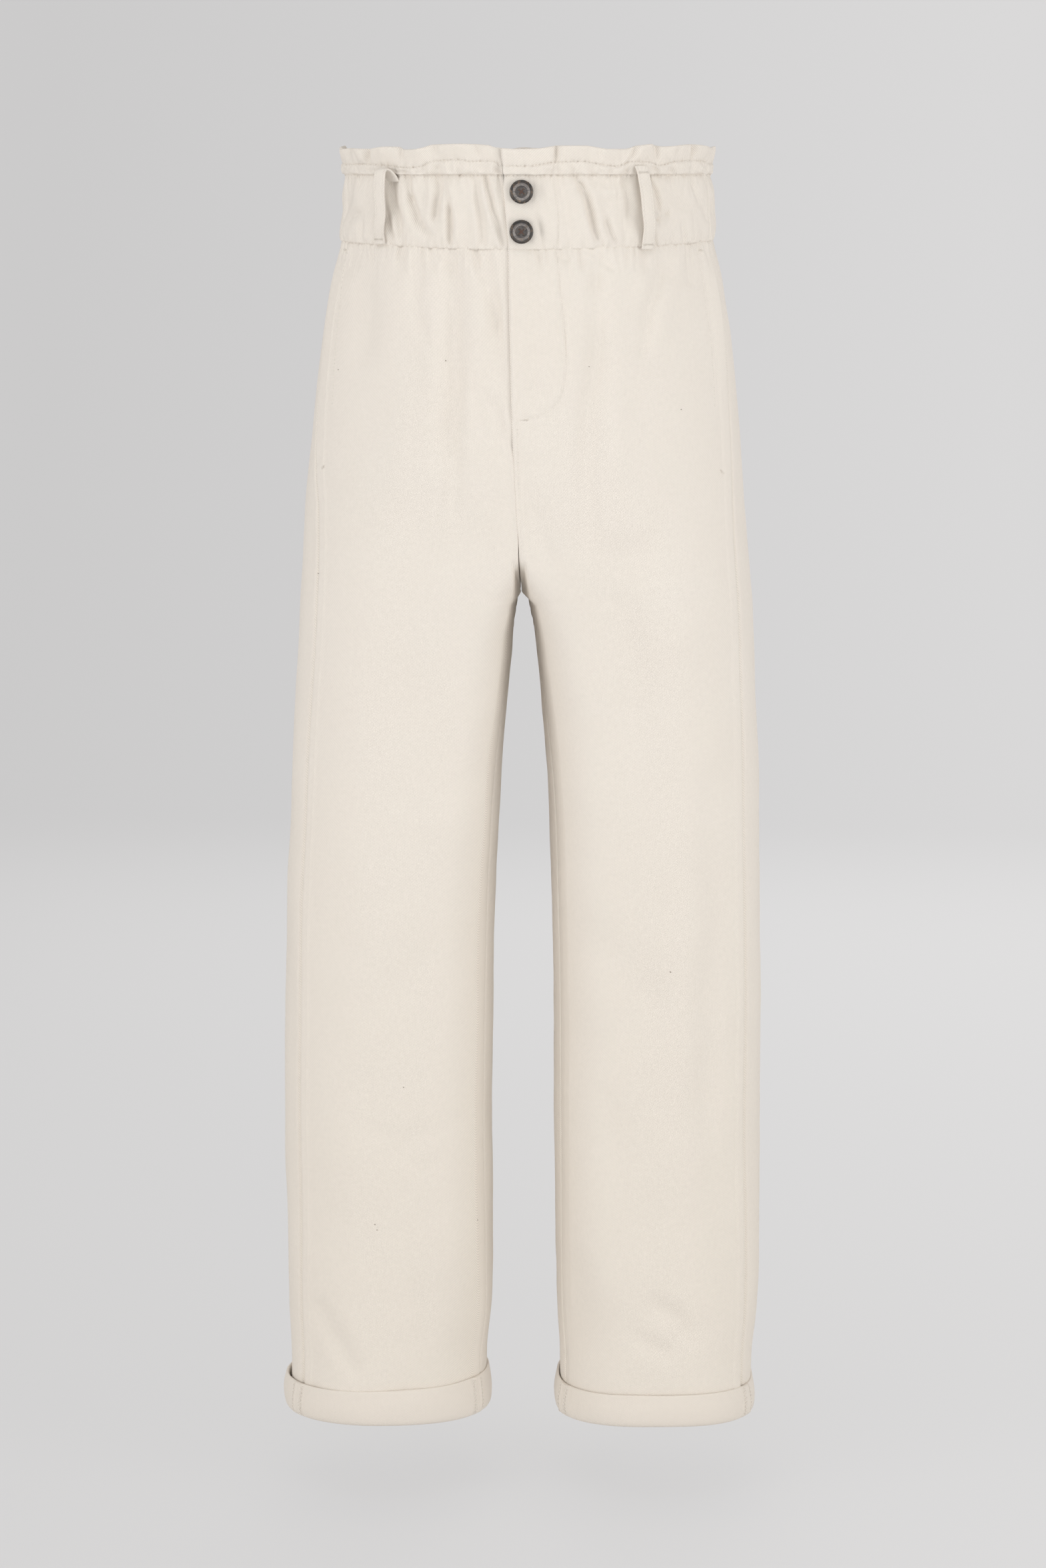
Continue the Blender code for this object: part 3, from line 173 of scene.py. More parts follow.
LEGS = (
    (-0.302, 0.1814, -0.0010, 0.0028, 0.1763, -0.0010, 0.0028, 0.0968, 0.1065, 2.32, 2.32),
    (-0.310, 0.1820, 0.0014, 0.0047, 0.1767, 0.0010, 0.0043, 0.0962, 0.1050, 2.32, 2.32),
    (-0.325, 0.1828, 0.0058, 0.0078, 0.1773, 0.0046, 0.0066, 0.0950, 0.1026, 2.32, 2.32),
    (-0.350, 0.1838, 0.0108, 0.0108, 0.1787, 0.0088, 0.0088, 0.0930, 0.0993, 2.32, 2.32),
    (-0.414, 0.1871, 0.0171, 0.0171, 0.1830, 0.0144, 0.0144, 0.0890, 0.0930, 2.32, 2.32),
    (-0.480, 0.1889, 0.0213, 0.0213, 0.1859, 0.0187, 0.0187, 0.0860, 0.0890, 2.32, 2.32),
    (-0.544, 0.1902, 0.0231, 0.0231, 0.1895, 0.0220, 0.0220, 0.0830, 0.0860, 2.30, 2.30),
    (-0.632, 0.1916, 0.0248, 0.0248, 0.1913, 0.0240, 0.0240, 0.0790, 0.0820, 2.28, 2.28),
    (-0.720, 0.1912, 0.0252, 0.0252, 0.1926, 0.0252, 0.0252, 0.0755, 0.0785, 2.28, 2.26),
    (-0.810, 0.1924, 0.0264, 0.0264, 0.1914, 0.0246, 0.0246, 0.0725, 0.0755, 2.32, 2.23),
    (-0.877, 0.1910, 0.0280, 0.0280, 0.1909, 0.0250, 0.0250, 0.0705, 0.0735, 2.45, 2.23),
    (-0.922, 0.1868, 0.0304, 0.0304, 0.1892, 0.0295, 0.0295, 0.0690, 0.0720, 2.62, 2.22),
    (-0.970, 0.1845, 0.0304, 0.0304, 0.1908, 0.0306, 0.0306, 0.0675, 0.0705, 2.72, 2.20),
)
SEAM_COLUMNS = ("height", "side_left", "side_right", "inseam_left", "inseam_right")
SEAMS = (
    (0.056, 0.0040, 0.0015, 0.0000, 0.0000),
    (-0.028, 0.0055, 0.0015, 0.0000, 0.0000),
    (-0.090, 0.0070, 0.0020, 0.0000, 0.0000),
    (-0.140, 0.0085, 0.0035, 0.0000, 0.0000),
    (-0.200, 0.0097, 0.0075, 0.0000, 0.0000),
    (-0.230, 0.0112, 0.0120, 0.0000, 0.0000),
    (CROTCH, 0.0130, 0.0152, 0.0000, 0.0000),
    (-0.350, 0.0136, 0.0148, 0.0015, 0.0020),
    (-0.470, 0.0148, 0.0140, 0.0048, 0.0062),
    (-0.740, 0.0144, 0.0138, 0.0052, 0.0062),
    (-0.890, 0.0115, 0.0120, 0.0040, 0.0048),
    (-0.970, 0.0070, 0.0115, 0.0045, 0.0050),
)
MOUTH_COLUMNS = ("height", "back_left", "out_left", "back_right", "out_right")
# the pocket mouths: how far the front's edge stands back from the side seam, and out, in mm
MOUTH = (
    (0.000, 0.2, 0.0, 0.2, 0.0),
    (-0.031, 0.3, 0.2, 0.3, 0.2),
    (-0.050, 3.2, 1.8, 2.0, 1.0),
    (-0.080, 3.4, 2.2, 2.0, 1.1),
    (-0.110, 1.6, 1.3, 1.2, 0.8),
    (-0.150, 0.8, 0.5, 0.8, 0.4),
    (-0.190, 0.1, 0.0, 0.1, 0.0),
    (-0.980, 0.1, 0.0, 0.1, 0.0),
)


def columns(names, rows):
    """A table's rows as one array for each named column, ordered by rising first column."""
    values = np.array(rows, float)
    values = values[np.argsort(values[:, 0])]
    return {name: values[:, i] for i, name in enumerate(names)}


def named(names, rows):
    return [dict(zip(names, row)) for row in rows]


def flowing(places, values, at):
    """The smooth curve through (places, values) at one place or many. It never overshoots its rows."""
    at = np.asarray(at, float)
    step = np.diff(places)
    slope = np.diff(values) / step
    lean = np.zeros(len(places))
    before, after = slope[:-1], slope[1:]
    same = before * after > 0
    near = (2 * step[1:] + step[:-1])[same]
    far = (step[1:] + 2 * step[:-1])[same]
    lean[1:-1][same] = (near + far) / (near / before[same] + far / after[same])
    lean[0], lean[-1] = slope[0], slope[-1]
    i = np.clip(np.searchsorted(places, at) - 1, 0, len(step) - 1)
    t = np.clip((at - places[i]) / step[i], 0.0, 1.0)
    return (
        values[i] * (2 * t**3 - 3 * t**2 + 1)
        + values[i + 1] * (3 * t**2 - 2 * t**3)
        + step[i] * (lean[i] * (t**3 - 2 * t**2 + t) + lean[i + 1] * (t**3 - t**2))
    )


def body_table():
    """Torso and leg rows as one table, where the legs' inner faces become a joined share below 0."""
    rows = []
    for row in named(TORSO_COLUMNS, TORSO):
        for side in ("left", "right"):
            row["joined_" + side] = row["joined"]
            row["square_" + side] = row["square"]
            row["gap_" + side] = 0.0
        rows.append(row)
    for row in named(LEG_COLUMNS, LEGS):
        for side in ("left", "right"):
            row["joined_" + side] = -row["inner_" + side] / row["outer_" + side]
        row["middle"] = row["lap_edge"] = 0.0
        rows.append(row)
    rows.sort(key=lambda row: row["height"])
    names = [word + side for word in ("outer_", "joined_", "square_", "gap_") for side in ("left", "right")]
    names += ["height", "front", "back", "middle", "lap_edge"]
    return {name: np.array([row[name] for row in rows]) for name in names}


BODY = body_table()
SEAM_LINES = columns(SEAM_COLUMNS, SEAMS)
MOUTHS = columns(MOUTH_COLUMNS, MOUTH)


def read(table, name, height):
    return flowing(table["height"], table[name], height)


print("sections:", len(BODY["height"]))

# %% [markdown]
# ## The body's outline at one height
#
# Seen from above, half the body is a rounded box, a little squarer than an ellipse. Below the crotch each
# half becomes a leg of its own. A distance measured along this outline says where a seam or a fold lies,
# just as a tape laid round the garment would.

# %% Outlines and distances along them
OUTLINE_POINTS = 721
OUTLINES = {}


def ease(value):
    """0 to 1, starting and ending softly."""
    value = np.clip(value, 0.0, 1.0)
    return value * value * (3 - 2 * value)


def word_of(side):
    return "left" if side > 0 else "right"


def half_loop(side, height):
    """One half of the torso or one leg: front middle, round the outer side, to the back middle."""
    word = word_of(side)
    middle = read(BODY, "middle", height)
    reach = read(BODY, "outer_" + word, height) - side * middle
    inner = -read(BODY, "joined_" + word, height) * reach
    centre, half = (reach + inner) / 2, (reach - inner) / 2
    square = read(BODY, "square_" + word, height)
    is_leg = height < CROTCH + 1e-6
    turn = math.pi if is_leg else math.acos(-((centre / half) ** (square / 2)))
    angle = np.linspace(-turn, turn, OUTLINE_POINTS)
    power = 2 / square
    across = centre + half * np.sign(np.cos(angle)) * np.abs(np.cos(angle)) ** power
    if is_leg:
        gap = max(float(read(BODY, "gap_" + word, height)), SEAM_GAP / 2)
        soft = 1.2 * max(gap - inner, 0.0)
        across = (across + gap + np.sqrt((across - gap) ** 2 + soft**2)) / 2
    else:
        across = np.maximum(across, 0.0)
    depth = np.where(angle < 0, read(BODY, "front", height), read(BODY, "back", height))
    along = depth * np.sign(np.sin(angle)) * np.abs(np.sin(angle)) ** power
    return np.column_stack([middle + side * across, along])


def unit(vectors):
    """The same directions with a length of 1, along the last axis."""
    return vectors / np.maximum(np.linalg.norm(vectors, axis=-1, keepdims=True), 1e-12)


def lengths(points):
    """The distance of each point of a row along it."""
    return np.concatenate([[0.0], np.cumsum(np.linalg.norm(np.diff(points, axis=0), axis=1))])


def along_row(at, run, values):
    """A row's values, one column each, read at the distances `at` where the row's own distances are `run`."""
    return np.column_stack([np.interp(at, run, values[:, k]) for k in range(values.shape[1])])


def stretch(points, start, end):
    """The part of a row of points between two distances along it."""
    along = lengths(points)
    inside = (along > start + 1e-7) & (along < end - 1e-7)
    ends = [[np.interp(s, along, points[:, k]) for k in (0, 1)] for s in (start, end)]
    return np.vstack([ends[0], points[inside], ends[1]])


def where_across(points, across, side):
    """The distance along the front of a half loop at which it reaches `across`, going outwards."""
    front = points[: int(np.argmax(side * points[:, 0])) + 1]
    return float(np.interp(side * across, side * front[:, 0], lengths(front)))


def outline(side, height):
    """The half's points from front edge to back edge, their distances, and where the side seam lies."""
    key = (side, round(float(height), 6))
    if key in OUTLINES:
        return OUTLINES[key]
    word = word_of(side)
    points = half_loop(side, height)
    total = lengths(points)[-1]
    if height > CROTCH + 1e-6:
        edge, middle = read(BODY, "lap_edge", height), read(BODY, "middle", height)
        if side < 0:
            points = stretch(points, where_across(points, edge, side), total)
        elif middle - edge > 1e-5:
            other = half_loop(-side, height)
            strip = stretch(other, 0.0, where_across(other, edge, -side))
            points = np.vstack([strip[::-1], points[1:]])
    elif height < CROTCH - 1e-6:
        inset = read(SEAM_LINES, "inseam_" + word, height)
        if inset > 1e-6:
            start = where_across(points, points[0, 0] + side * inset, side)
            points = np.vstack([stretch(points, start, total), stretch(points, 0.0, start)[1:]])
    outer = side * (np.max(side * points[:, 0]) - read(SEAM_LINES, "side_" + word, height))
    OUTLINES[key] = (points, lengths(points), where_across(points, outer, side))
    return OUTLINES[key]


def on_outline(side, distances, height):
    """Points at distances along the outline. A distance below 0 runs on along the other half's front."""
    points, along, _ = outline(side, height)
    spots = along_row(distances, along, points)
    if np.min(distances) < 0:
        other, other_along, _ = outline(-side, height)
        past = along_row(-distances, other_along, other)
        spots = np.where((distances < 0)[:, None], past, spots)
    return spots


def seam_rise(across, height):
    """How much higher a row lies at the sides: most at the waist seam, 0 at the stitch row and the hips."""
    share = (across / SIDE_REACH) ** 2
    above = 1 - ease((height - WAIST_SEAM) / (LOWER_ROW - WAIST_SEAM))
    below = 1 - ease((WAIST_SEAM - height) / RISE_FADE)
    return SEAM_RISE * share * np.where(height > WAIST_SEAM, above, below)


print("waist round the casing:", round(sum(outline(s, 0.0)[1][-1] for s in (-1, 1)) * 1000), "mm")

# %% [markdown]
# ## Meshes from grids
#
# A sewn shell is a grid of points with an outward direction at each one. Moving the points out or in along
# that direction presses folds into the cloth. The outer grid and a smoother inner grid are then joined
# along their four edges, which gives one closed shell with a real thickness. The UV map is in metres of
# cloth, so that the weave keeps its true size and follows the gathers.

# %% Grid helpers


def outward(grid, side):
    """The outward direction at each point of a grid of rows, from the top down, and columns."""
    down = np.gradient(grid, axis=0)
    across = np.gradient(grid, axis=1)
    return unit(side * np.cross(down, across))


def tape(grid, axis):
    """Distances along the rows (axis 1) or the columns (axis 0) of a grid."""
    steps = np.linalg.norm(np.diff(grid, axis=axis), axis=2)
    start = np.zeros_like(np.take(steps, [0], axis=axis))
    return np.cumsum(np.concatenate([start, steps], axis=axis), axis=axis)


def quads(rows, cols, first=0, flip=False, rows_meet=False, cols_meet=False):
    """A grid's faces. Its last row can meet the first one, and so can its last column."""
    i, j = np.meshgrid(np.arange(rows - (not rows_meet)), np.arange(cols - (not cols_meet)), indexing="ij")
    next_i, next_j = (i + 1) % rows, (j + 1) % cols
    corners = ((i, j), (i, next_j), (next_i, next_j), (next_i, j))
    faces = first + np.column_stack([(row * cols + col).ravel() for row, col in corners])
    return faces[:, ::-1] if flip else faces


def uv_grid(u, v):
    """A UV for each point of a grid, from u for its columns and v for its rows."""
    shape = (len(v), len(u))
    return np.dstack([np.broadcast_to(u, shape), np.broadcast_to(v[:, None], shape)])


def mesh_object(name, points, faces, uv=None, material=None, angle=60):
    """A new object from points and faces, its normals turned outwards, with a UV for each point."""
    mesh = bpy.data.meshes.new(name)
    mesh.from_pydata(points.tolist(), [], [tuple(int(v) for v in face) for face in faces])
    mesh.validate()
    work = bmesh.new()
    work.from_mesh(mesh)
    bmesh.ops.recalc_face_normals(work, faces=work.faces)
    work.to_mesh(mesh)
    work.free()
    if uv is not None:
        layer = mesh.uv_layers.new(name="cloth")
        at = np.empty(len(mesh.loops), np.int32)
        mesh.loops.foreach_get("vertex_index", at)
        layer.data.foreach_set("uv", uv[at].astype(np.float32).ravel())
    mesh.shade_smooth()
    mesh.set_sharp_from_angle(angle=math.radians(angle))
    made = bpy.data.objects.new(name, mesh)
    scene.collection.objects.link(made)
    if material:
        mesh.materials.append(material)
    return made


def shell(name, outer, inner, uv, material):
    """A closed cloth shell between two grids of the same size."""
    rows, cols = outer.shape[:2]
    count = rows * cols
    faces = [quads(rows, cols), quads(rows, cols, count, flip=True)]
    for edge in (
        np.arange(cols), np.arange(cols)[::-1] + (rows - 1) * cols,
        np.arange(rows)[::-1] * cols, np.arange(rows) * cols + cols - 1,
    ):
        faces.append(np.column_stack([edge[1:], edge[:-1], edge[:-1] + count, edge[1:] + count]))
    points = np.vstack([outer.reshape(-1, 3), inner.reshape(-1, 3)])
    flat_uv = uv.reshape(-1, 2)
    return mesh_object(name, points, np.vstack(faces), np.vstack([flat_uv, flat_uv]), material)


def soft_noise(first, second, seed, count, shortest, longest, size):
    """An uneven, soft surface: plane waves of random direction and length, all in mm."""
    draw = np.random.default_rng(seed)
    total = np.zeros_like(first)
    for _ in range(count):
        length = math.exp(draw.uniform(math.log(shortest), math.log(longest)))
        turn, phase = draw.uniform(0, math.tau, 2)
        total += np.sin(math.tau / length * (math.cos(turn) * first + math.sin(turn) * second) + phase)
    return total * size / math.sqrt(count)


def bell(value):
    return np.exp(-value * value)


print("grid helpers ready")

# %% [markdown]
# ## The panels' folds
#
# Gathered cloth falls from the waist seam in soft folds. Each one is a trough with a low ridge on both
# sides, since cloth pushed in somewhere comes out next to it. Some start at the seam and fade by the hip,
# and a few long, shallow ones run down the legs. Soft troughs placed one by one read better than noise, so
# noise only adds unevenness.

# %% Fold tables
# on the backs: share of the width, drift, start and end height, depth and half width in mm
FOLD_COLUMNS = ("share", "drift", "top", "bottom", "depth", "width")
BACK_FOLDS = (  # from the centre back, share 1, to the side seam, share 0
    (0.92, 0.02, -20, -85, 1.8, 6.5), (0.84, 0.00, -20, -60, 1.2, 5.0), (0.75, -0.02, -20, -135, 2.2, 8.0),
    (0.66, 0.00, -20, -60, 1.2, 5.0), (0.56, 0.01, -20, -110, 2.0, 7.5), (0.45, 0.00, -20, -65, 1.3, 5.5),
    (0.34, 0.02, -20, -125, 1.9, 8.0), (0.22, 0.00, -20, -70, 1.3, 6.0), (0.10, 0.02, -20, -95, 1.3, 6.5),
    (0.80, -0.10, -245, -330, 2.4, 10.0), (0.70, -0.14, -275, -420, 1.8, 11.0),
    (0.42, 0.05, -360, -700, 1.6, 16.0), (0.66, -0.04, -480, -880, 1.5, 17.0),
    (0.25, 0.02, -600, -930, 1.3, 15.0), (0.52, 0.00, -895, -965, 1.8, 14.0),
)
# on the fronts: depth and half width in mm, then the fold's path as (across, height) in mm. A depth below
# 0 makes a rise.
DENTS_RIGHT = (
    (2.6, 6.0, (-121, -42.2), (-121.5, -72.6), (-121.5, -100.5), (-125.3, -133.7)),
    (1.5, 3.0, (-78.9, -32.5), (-81, -59.2)), (1.0, 3.0, (-83, -65.8), (-73.3, -95.9)),
    (3.4, 5.0, (-51.8, -37.4), (-54.4, -71.6), (-54.4, -111.9), (-53, -167.7), (-55.4, -244.8),
     (-57.6, -286.3)),
    (1.4, 2.6, (-32.5, -28.3), (-31.5, -48.8)), (1.8, 3.6, (-25.9, -36.3), (-23.3, -61.4), (-20.3, -86.5)),
    (1.9, 4.5, (-21.3, -66.4), (-15.2, -96.6), (-11.2, -121.8)),
    (1.7, 4.6, (-34.6, -137.1), (-22.4, -154.8), (-12.2, -172.6), (-6.6, -195.6)),
    (0.9, 9.0, (-23.4, -111.7), (-21.4, -162.4)), (1.0, 6.0, (-29.2, -244.5), (-24.7, -296.4)),
    (1.3, 3.0, (-56.9, -33.4), (-49.8, -56.4)), (1.2, 2.4, (-93.3, -27.7), (-90.7, -41.7)),
    (1.2, 2.4, (-70.7, -27.5), (-67.6, -42.5)), (1.2, 2.2, (-38.6, -27.3), (-35.5, -39.3)),
    (1.3, 12.0, (-66.8, -375.6), (-62.3, -407.6), (-49, -435.5)),
    (-1.0, 14.0, (-44, -466.3), (-49.2, -478.4)),
    (1.1, 13.0, (-107.1, -615), (-80.8, -588.6), (-46.9, -565.1)),
    (0.8, 5.0, (-118.4, -723.9), (-97.3, -730.5), (-65.7, -720.4)),
    (0.7, 5.0, (-110.6, -740.3), (-76.3, -749.6)),
    (1.6, 5.0, (-162.8, -874.5), (-152, -895), (-138.1, -918.6)),
    (1.2, 8.0, (-83.7, -848.6), (-74.3, -885.5), (-64.3, -920.3)),
    (0.9, 16.0, (-137.7, -481.6), (-140.9, -616), (-139.9, -752.2)),
    (-0.8, 9.0, (-94.1, -143), (-94.3, -204.3)),
)
DENTS_LEFT = (
    (1.6, 3.2, (54.9, -41.4), (56.4, -56.5)),
    (3.2, 5.5, (54.9, -54), (57.5, -91.7), (56.5, -129.7), (49, -180.5), (49.2, -244.7), (47.3, -275.8)),
    (1.2, 7.0, (84.6, -61.8), (79.5, -102.1)),
    (2.4, 3.6, (106.8, -41.9), (102.1, -57), (95.9, -74.6), (92.4, -104.8)),
    (1.3, 2.0, (27.4, -32.8), (33.5, -36.3)), (1.3, 2.2, (52.8, -30.4), (60, -35.4), (67.1, -42.5)),
    (1.2, 2.2, (42.6, -29.3), (45.7, -39.4)), (1.0, 2.2, (10.7, -30.3), (12.2, -43.3)),
    (0.8, 4.0, (-7.1, -77.4), (3, -78.4), (10.7, -75.4)), (0.8, 4.0, (-6.1, -111.7), (8.1, -109.7)),
    (0.8, 5.0, (-4.6, -140.1), (8.1, -137)), (1.3, 9.0, (75, -263.3), (90.5, -260)),
    (-0.9, 11.0, (77.5, -240), (90.4, -235.2)),
    (2.2, 7.0, (2.6, -216.1), (9.7, -244.5), (14.9, -270.4), (17.5, -299)),
    (1.2, 2.6, (90.2, -29.6), (92.8, -41.7)),
    (1.6, 9.0, (82.9, -309.5), (88.3, -348.8), (87.5, -390.8), (78.9, -428)),
    (1.3, 12.0, (63.5, -573.6), (79.3, -594.1), (95.1, -615.1)),
    (1.0, 8.0, (66.1, -698.4), (71, -736.3), (75.9, -774.4)),
    (2.6, 9.0, (150.1, -445.4), (151.2, -504), (149.5, -616.7), (150.5, -725.7), (154.8, -836.7),
     (157.4, -887.4)),
    (1.6, 5.0, (107.1, -867.3), (120.5, -875.8), (131.4, -890.1)),
    (1.2, 4.5, (94, -895.4), (115.4, -906.4)), (0.8, 8.0, (40.8, -842.1), (47.3, -890.3)),
    (1.0, 2.4, (111.5, -32.9), (113.6, -47.1)), (-0.8, 8.0, (71.9, -142.5), (73.7, -193.6)),
    (1.0, 3.0, (129.5, -30.3), (130.5, -52.6)),
)


DEEPER, WIDER = 1.35, 1.5  # the tables' folds are pressed this much deeper and wider into the fronts


def off_path(across, height, path):
    """Each point's distance from a path in mm, how far along it that is, from 0 to 1, and its length."""
    best = np.full(np.broadcast(across, height).shape, 1e6)
    way, run = np.zeros(best.shape), 0.0
    for (x0, z0), (x1, z1) in zip(path, path[1:]):
        length = math.hypot(x1 - x0, z1 - z0)
        t = np.clip(((across - x0) * (x1 - x0) + (height - z0) * (z1 - z0)) / length**2, 0.0, 1.0)
        away = np.hypot(across - x0 - t * (x1 - x0), height - z0 - t * (z1 - z0))
        way = np.where(away < best, run + t * length, way)
        best = np.minimum(best, away)
        run += length
    return best, way / run, run


def dented(across, height, dents, wider=1.0):
    """How deep the listed folds are, in mm: each trough has a low ridge beside it."""
    depth = np.zeros(np.broadcast(across, height).shape)
    for k, (deep, wide, *path) in enumerate(dents):
        wide *= wider
        bend = 0.22 * wide * np.sin(height / (3.1 * wide) + k)
        bend = bend + 0.12 * wide * np.sin(height / (1.3 * wide) + 2 * k)
        away, way, length = off_path(across + bend, height, path)
        away = away / wide
        long = ease((length - 40) / 60)
        fade = 1 - long * (1 - ease((1 - way) / 0.5) * (0.45 + 0.55 * ease(way / 0.2)))
        ridge = ease(way / 0.3) * ease((1 - way) / 0.3)
        depth += deep * fade * (bell(away) - 0.24 * ridge * bell((away - 2.3) / 1.2))
    return depth


def fold_depth(folds, share, width, height):
    """How far the folds push the cloth in, at shares of the panel's width and at heights."""
    depth = np.zeros(np.broadcast(share, height).shape)
    for fold in folds:
        top, bottom = fold["top"] * MM, fold["bottom"] * MM
        along = (top - height) / (top - bottom)
        rise = ease(along / 0.12) if top < WAIST_SEAM else 1.0
        fade = rise * (1 - ease((along - 0.25) / 0.75)) * ((along > 0) & (along < 1))
        away = (share - fold["share"] - fold["drift"] * along) * width / (fold["width"] * MM)
        depth += fold["depth"] * MM * fade * (bell(away) - 0.35 * bell(np.abs(away) - 2.1))
    return depth * ease((height - CUFF_TOP) / (6 * MM) + 1)


def lapped(height):
    """1 over the fly and placket, where one front lies on the other, easing to 0 below them."""
    return ease((height - FLY_FLAT) / (FLY_END - FLY_FLAT))


def lap_push(side, distance, height, wall):
    """How far the lap moves the cloth out (the upper front) or in (the under one)."""
    push = (wall / 2 + 0.24 * MM) * lapped(height)
    if side > 0:
        return push * (1 - ease((distance - LAP) / LAP_EASE))
    return -push * (1 - ease(distance / LAP_EASE))


def folds_at(side, part, base):
    """How deep a panel's folds are at each of its points, in metres."""
    points = base["points"]
    if part == "back":
        return fold_depth(named(FOLD_COLUMNS, BACK_FOLDS), SHARES, base["width"], points[..., 2])
    dents = DENTS_LEFT if side > 0 else DENTS_RIGHT
    rise = seam_rise(points[..., 0], points[..., 2]) * ease((points[..., 2] - WAIST_SEAM) / (20 * MM) + 1)
    return DEEPER * dented(points[..., 0] / MM, (points[..., 2] - rise) / MM, dents, WIDER) * MM


print("folds:", len(DENTS_RIGHT) + len(DENTS_LEFT) + 2 * len(BACK_FOLDS))

# %% [markdown]
# ## Where each panel runs
#
# A panel is cut between two seams. Its columns keep their share of that width from the waist to the hem, so
# they follow the grain of the cloth. At the crotch the outline suddenly grows by the inside of the thigh,
# and that extra length is given to the columns next to the centre seam, where the real cloth turns under.

# %% Panel columns
EDGE = 0.1 * MM  # how near the cut edges come to the seam line
TUCK = 1.5  # mm, how far the panels run up under the casing's edge


def front_edge(side, height):
    """The front's free edge, as a distance along its outline. Below 0 it runs under the other front."""
    if side > 0:
        return EDGE
    return EDGE - (LAP + EDGE) * float(np.clip((height - FLY_END) / (FLY_FULL - FLY_END), 0.0, 1.0))


def panel_ends(side, part, height):
    points, along, seam = outline(side, height)
    if part == "front":
        return front_edge(side, height), seam - read(MOUTHS, "back_" + word_of(side), height) * MM
    return seam + EDGE, along[-1] - EDGE


def panel_distances(side, part, shares, height):
    """How far along the outline each column lies, and the panel's width without the inside of the thigh."""
    start, end = panel_ends(side, part, height)
    steady = end - start
    above, below = CROTCH_ZONE
    if below < height < above:
        heights = np.array([below - 0.04, below, above, above + 0.02])
        widths = [np.diff(panel_ends(side, part, place))[0] for place in heights]
        steady = float(flowing(heights, np.array(widths), height))
    from_seam = 1 - shares if part == "front" else shares
    away = from_seam * steady + (end - start - steady) * from_seam**10
    return (end - away if part == "front" else start + away), steady


def spread(*spans):
    """Heights from the top down. Each span gives its start, its end and about how far apart they are."""
    rows = []
    for top, low, step in spans:
        count = max(int(round((top - low) / step / MM)), 1)
        rows.append(np.linspace(top, low, count + 1)[:-1])
    return np.concatenate([*rows, [spans[-1][1]]])


EXACT_ROWS = np.round(np.arange(-0.0200, LEG_END - 0.0030, -0.0025), 6)
PANEL_ROWS = spread(
    (WAIST_SEAM, -0.060, 1.6), (-0.060, -0.110, 2.4), (-0.110, -0.165, 2.0), (-0.165, -0.280, 4.0),
    (-0.280, -0.332, 2.4), (-0.332, -0.930, 6.0), (-0.930, LEG_END, 4.0),
)
COLUMNS = 161


def panel_base(side, part, shares):
    """The panel's undisturbed points, with each point's distance from the panel's two ends."""
    spots = np.zeros((len(EXACT_ROWS), len(shares), 2))
    along = np.zeros((len(EXACT_ROWS), len(shares)))
    ends = np.zeros((len(EXACT_ROWS), 2))
    steady = np.zeros(len(EXACT_ROWS))
    for i, height in enumerate(EXACT_ROWS):
        along[i], steady[i] = panel_distances(side, part, shares, height)
        spots[i] = on_outline(side, along[i], height)
        ends[i] = panel_ends(side, part, height)

    def at(values, heights):
        place = (EXACT_ROWS[0] - heights) / (EXACT_ROWS[0] - EXACT_ROWS[1])
        low = np.clip(place.astype(int), 0, len(EXACT_ROWS) - 2)
        part_way = np.clip(place - low, 0.0, 1.0)
        if values.ndim == 1:
            return values[low] * (1 - part_way) + values[low + 1] * part_way
        cols = np.arange(values.shape[1])
        part_way = part_way[..., None] if values.ndim == 3 else part_way
        return values[low, cols] * (1 - part_way) + values[low + 1, cols] * part_way

    # the sections change their kind at the crotch, and away from the middle this is spread over more height
    calm = spots.copy()
    reach = np.arange(-14, 15)
    weights = bell(reach / 6.5)
    rows = np.arange(len(EXACT_ROWS))
    for k in (0, 1):
        calm[..., k] = sum(
            w * spots[np.clip(rows + r, 0, len(rows) - 1), :, k] for w, r in zip(weights, reach)
        ) / weights.sum()
    near = (bell((EXACT_ROWS - CROTCH) / 0.055) * ease((EXACT_ROWS - EXACT_ROWS[-1]) / 0.1))[:, None]
    from_centre = along - ends[:, :1] if part == "front" else ends[:, 1:] - along
    calmness = (near * ease((from_centre - 0.012) / 0.035))[..., None]
    spots = spots * (1 - calmness) + calm * calmness

    heights = np.repeat(PANEL_ROWS[:, None], len(shares), axis=1)
    for _ in range(2):
        across = at(spots, heights)[..., 0]
        heights = np.array([row + seam_rise(x, row) for row, x in zip(PANEL_ROWS, across)])
        heights[0] += TUCK * MM
    flat = at(spots, heights)
    return {
        "points": np.dstack([flat, heights]), "along": at(along, heights), "width": at(steady, heights),
        "start": at(ends[:, 0], heights), "end": at(ends[:, 1], heights),
    }


def parted(grid, side):
    """Keeps the halves clear of each other just above the crotch, where they would touch along the middle."""
    near = (grid[..., 2] < -0.25) & (grid[..., 2] >= CROTCH - 1e-6)
    middle = read(BODY, "middle", grid[..., 2])
    away = np.maximum(side * (grid[..., 0] - middle), EDGE)
    grid[..., 0] = np.where(near, middle + side * away, grid[..., 0])
    return grid


SHARES = np.linspace(0.0, 1.0, COLUMNS)
BASES = {(side, part): panel_base(side, part, SHARES) for side in (-1, 1) for part in ("front", "back")}
print("panel grid:", len(PANEL_ROWS), "rows by", COLUMNS, "columns")

# %% [markdown]
# ## Materials first
#
# Every piece gets its material as it is made, so the materials come before the cloth. The twill is woven in
# steep ribs: each rib is a row of floating warp threads about a millimetre apart. On the right side of the
# garment they run down to the right. The ribs are worked out in metres of cloth, so they are the same size
# on every piece.

# %% Colour and node helpers


